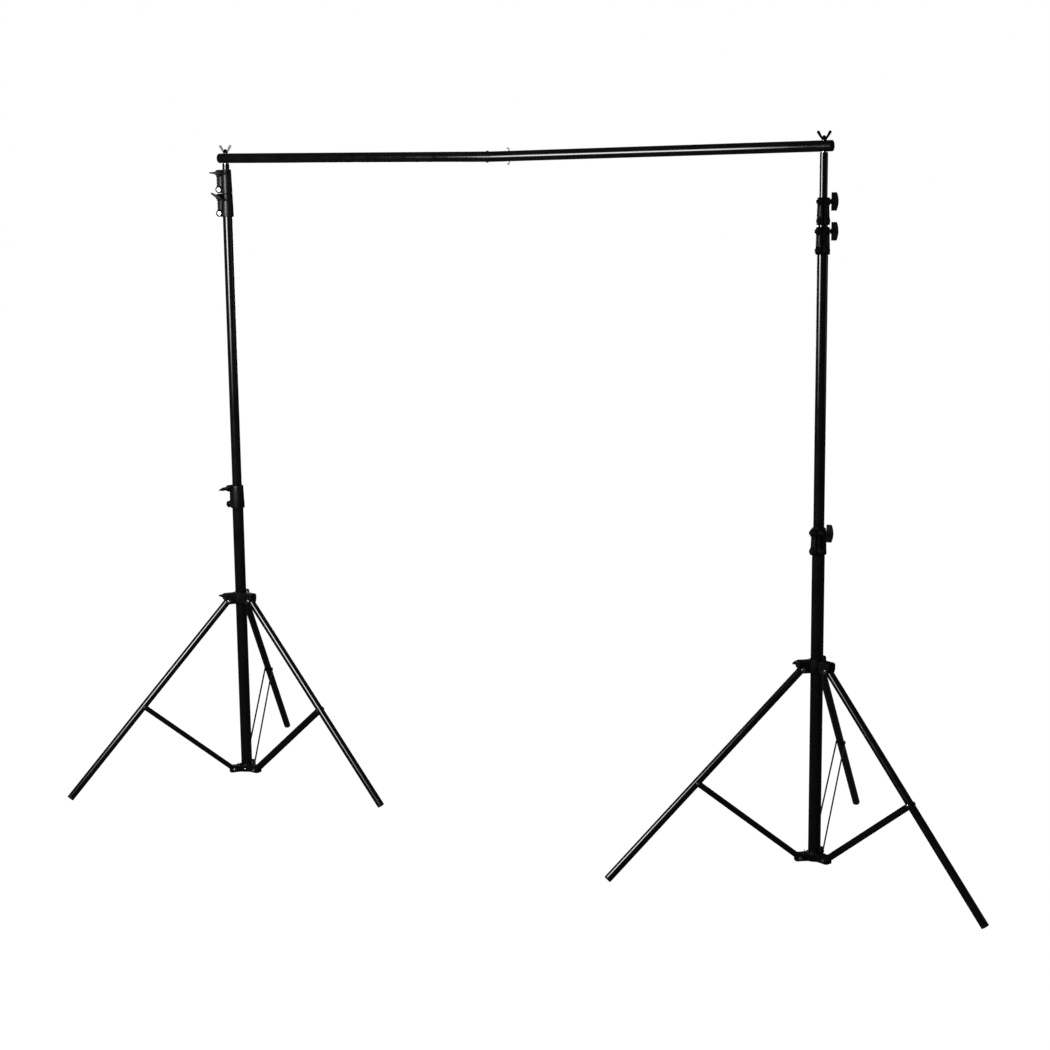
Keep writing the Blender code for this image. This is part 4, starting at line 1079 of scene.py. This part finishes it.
def add_softbox(name, place, target, size, strength, edge):
    """A glowing panel with soft edges that only reflections and shading see."""
    half_x, half_y = size[0] / 2, size[1] / 2
    corners = [(-half_x, -half_y), (half_x, -half_y), (half_x, half_y), (-half_x, half_y)]
    bm = bmesh.new()
    bm.faces.new([bm.verts.new((x, y, 0)) for x, y in corners])
    mesh = bpy.data.meshes.new(name)
    bm.to_mesh(mesh)
    bm.free()
    panel = bpy.data.objects.new(name, mesh)
    bpy.context.scene.collection.objects.link(panel)
    toward = Vector(target) - Vector(place)
    panel.rotation_euler = toward.to_track_quat("Z", "Y").to_euler()
    panel.location = place
    panel.visible_camera = False
    panel.visible_shadow = False
    made = emission(name, strength)
    tree = made.node_tree
    generated = add_node(tree, "TexCoord").outputs["Generated"]
    across = add_node(tree, "SeparateXYZ", None, {0: generated})
    glow = strength
    for axis, soft in (("X", edge[0]), ("Y", edge[1])):
        for limits in ((0, soft), (1, 1 - soft)):
            ends = {"Value": across.outputs[axis], "From Min": limits[0], "From Max": limits[1]}
            fade = add_node(tree, "MapRange", {"interpolation_type": "SMOOTHSTEP"}, ends)
            glow = math_node(tree, "MULTIPLY", fade.outputs["Result"], glow)
    facing = add_node(tree, "NewGeometry").outputs["Backfacing"]
    glow = math_node(tree, "MULTIPLY", glow, math_node(tree, "SUBTRACT", 1.0, facing))
    tree.links.new(glow, tree.nodes["Emission"].inputs["Strength"])
    mesh.materials.append(made)


def build_studio():
    """White to the camera, dim to reflections, with one soft window in front and weaker ones behind."""
    across = (-FLOOR_HALF_WIDTH, FLOOR_HALF_WIDTH)
    floor_mesh = block(across, across, FLOOR_BELOW)
    floor = bpy.data.objects.new("floor", floor_mesh)
    bpy.context.scene.collection.objects.link(floor)
    pale = emission("pale_floor", FLOOR_GLOW)
    tree = pale.node_tree
    glow = tree.nodes["Emission"].outputs[0]
    matt = add_node(tree, "BsdfDiffuse", None, {"Color": (0.9, 0.9, 0.9, 1)}).outputs[0]
    mixed = add_node(tree, "MixShader", None, {0: FLOOR_MATT_SHARE, 1: glow, 2: matt})
    tree.links.new(mixed.outputs[0], tree.nodes["Material Output"].inputs["Surface"])
    floor_mesh.materials.append(pale)
    floor.visible_glossy = False
    floor.visible_diffuse = False

    world = bpy.data.worlds.new("studio")
    bpy.context.scene.world = world
    world.use_nodes = True
    tree = world.node_tree
    backdrop = tree.nodes["Background"]
    camera_ray = add_node(tree, "LightPath").outputs["Is Camera Ray"]
    tree.links.new(remap(tree, camera_ray, (0, 1), (AMBIENT, 1)), backdrop.inputs["Strength"])
    backdrop.inputs["Color"].default_value = (1, 1, 1, 1)

    for name, settings in SOFT_BOXES.items():
        add_softbox(name, *settings)


def add_camera(middle):
    """The camera, at its place relative to the studs' middle."""
    data = bpy.data.cameras.new("camera")
    data.sensor_width = CAMERA_SENSOR
    data.lens = CAMERA_LENS
    data.shift_x, data.shift_y = CAMERA_SHIFT
    data.clip_end = 100
    camera = bpy.data.objects.new("camera", data)
    bpy.context.scene.collection.objects.link(camera)
    turn = Matrix.Rotation(CAMERA_YAW, 4, "Z") @ Matrix.Rotation(CAMERA_PITCH, 4, "X")
    turn = turn @ Matrix.Rotation(CAMERA_ROLL, 4, "Y") @ Matrix.Rotation(math.pi / 2, 4, "X")
    camera.matrix_world = shift(middle.x, middle.y, 0) @ Matrix.Translation(CAMERA_PLACE) @ turn
    bpy.context.scene.camera = camera
    bpy.context.scene.view_settings.view_transform = "Standard"


def main():
    """Builds both stands, the crossbar, the studio and the camera."""
    shapes = shared_shapes()
    for side, swing in (("left", "crossbar_swing"), ("right", "right_stand_swing")):
        axis = place_of(swing)
        build_legs(side, axis, shapes)
        build_hubs(side, axis, shapes)
        build_column(side, axis, shapes)
    middle = build_crossbar()
    build_studio()
    add_camera(middle)


main()
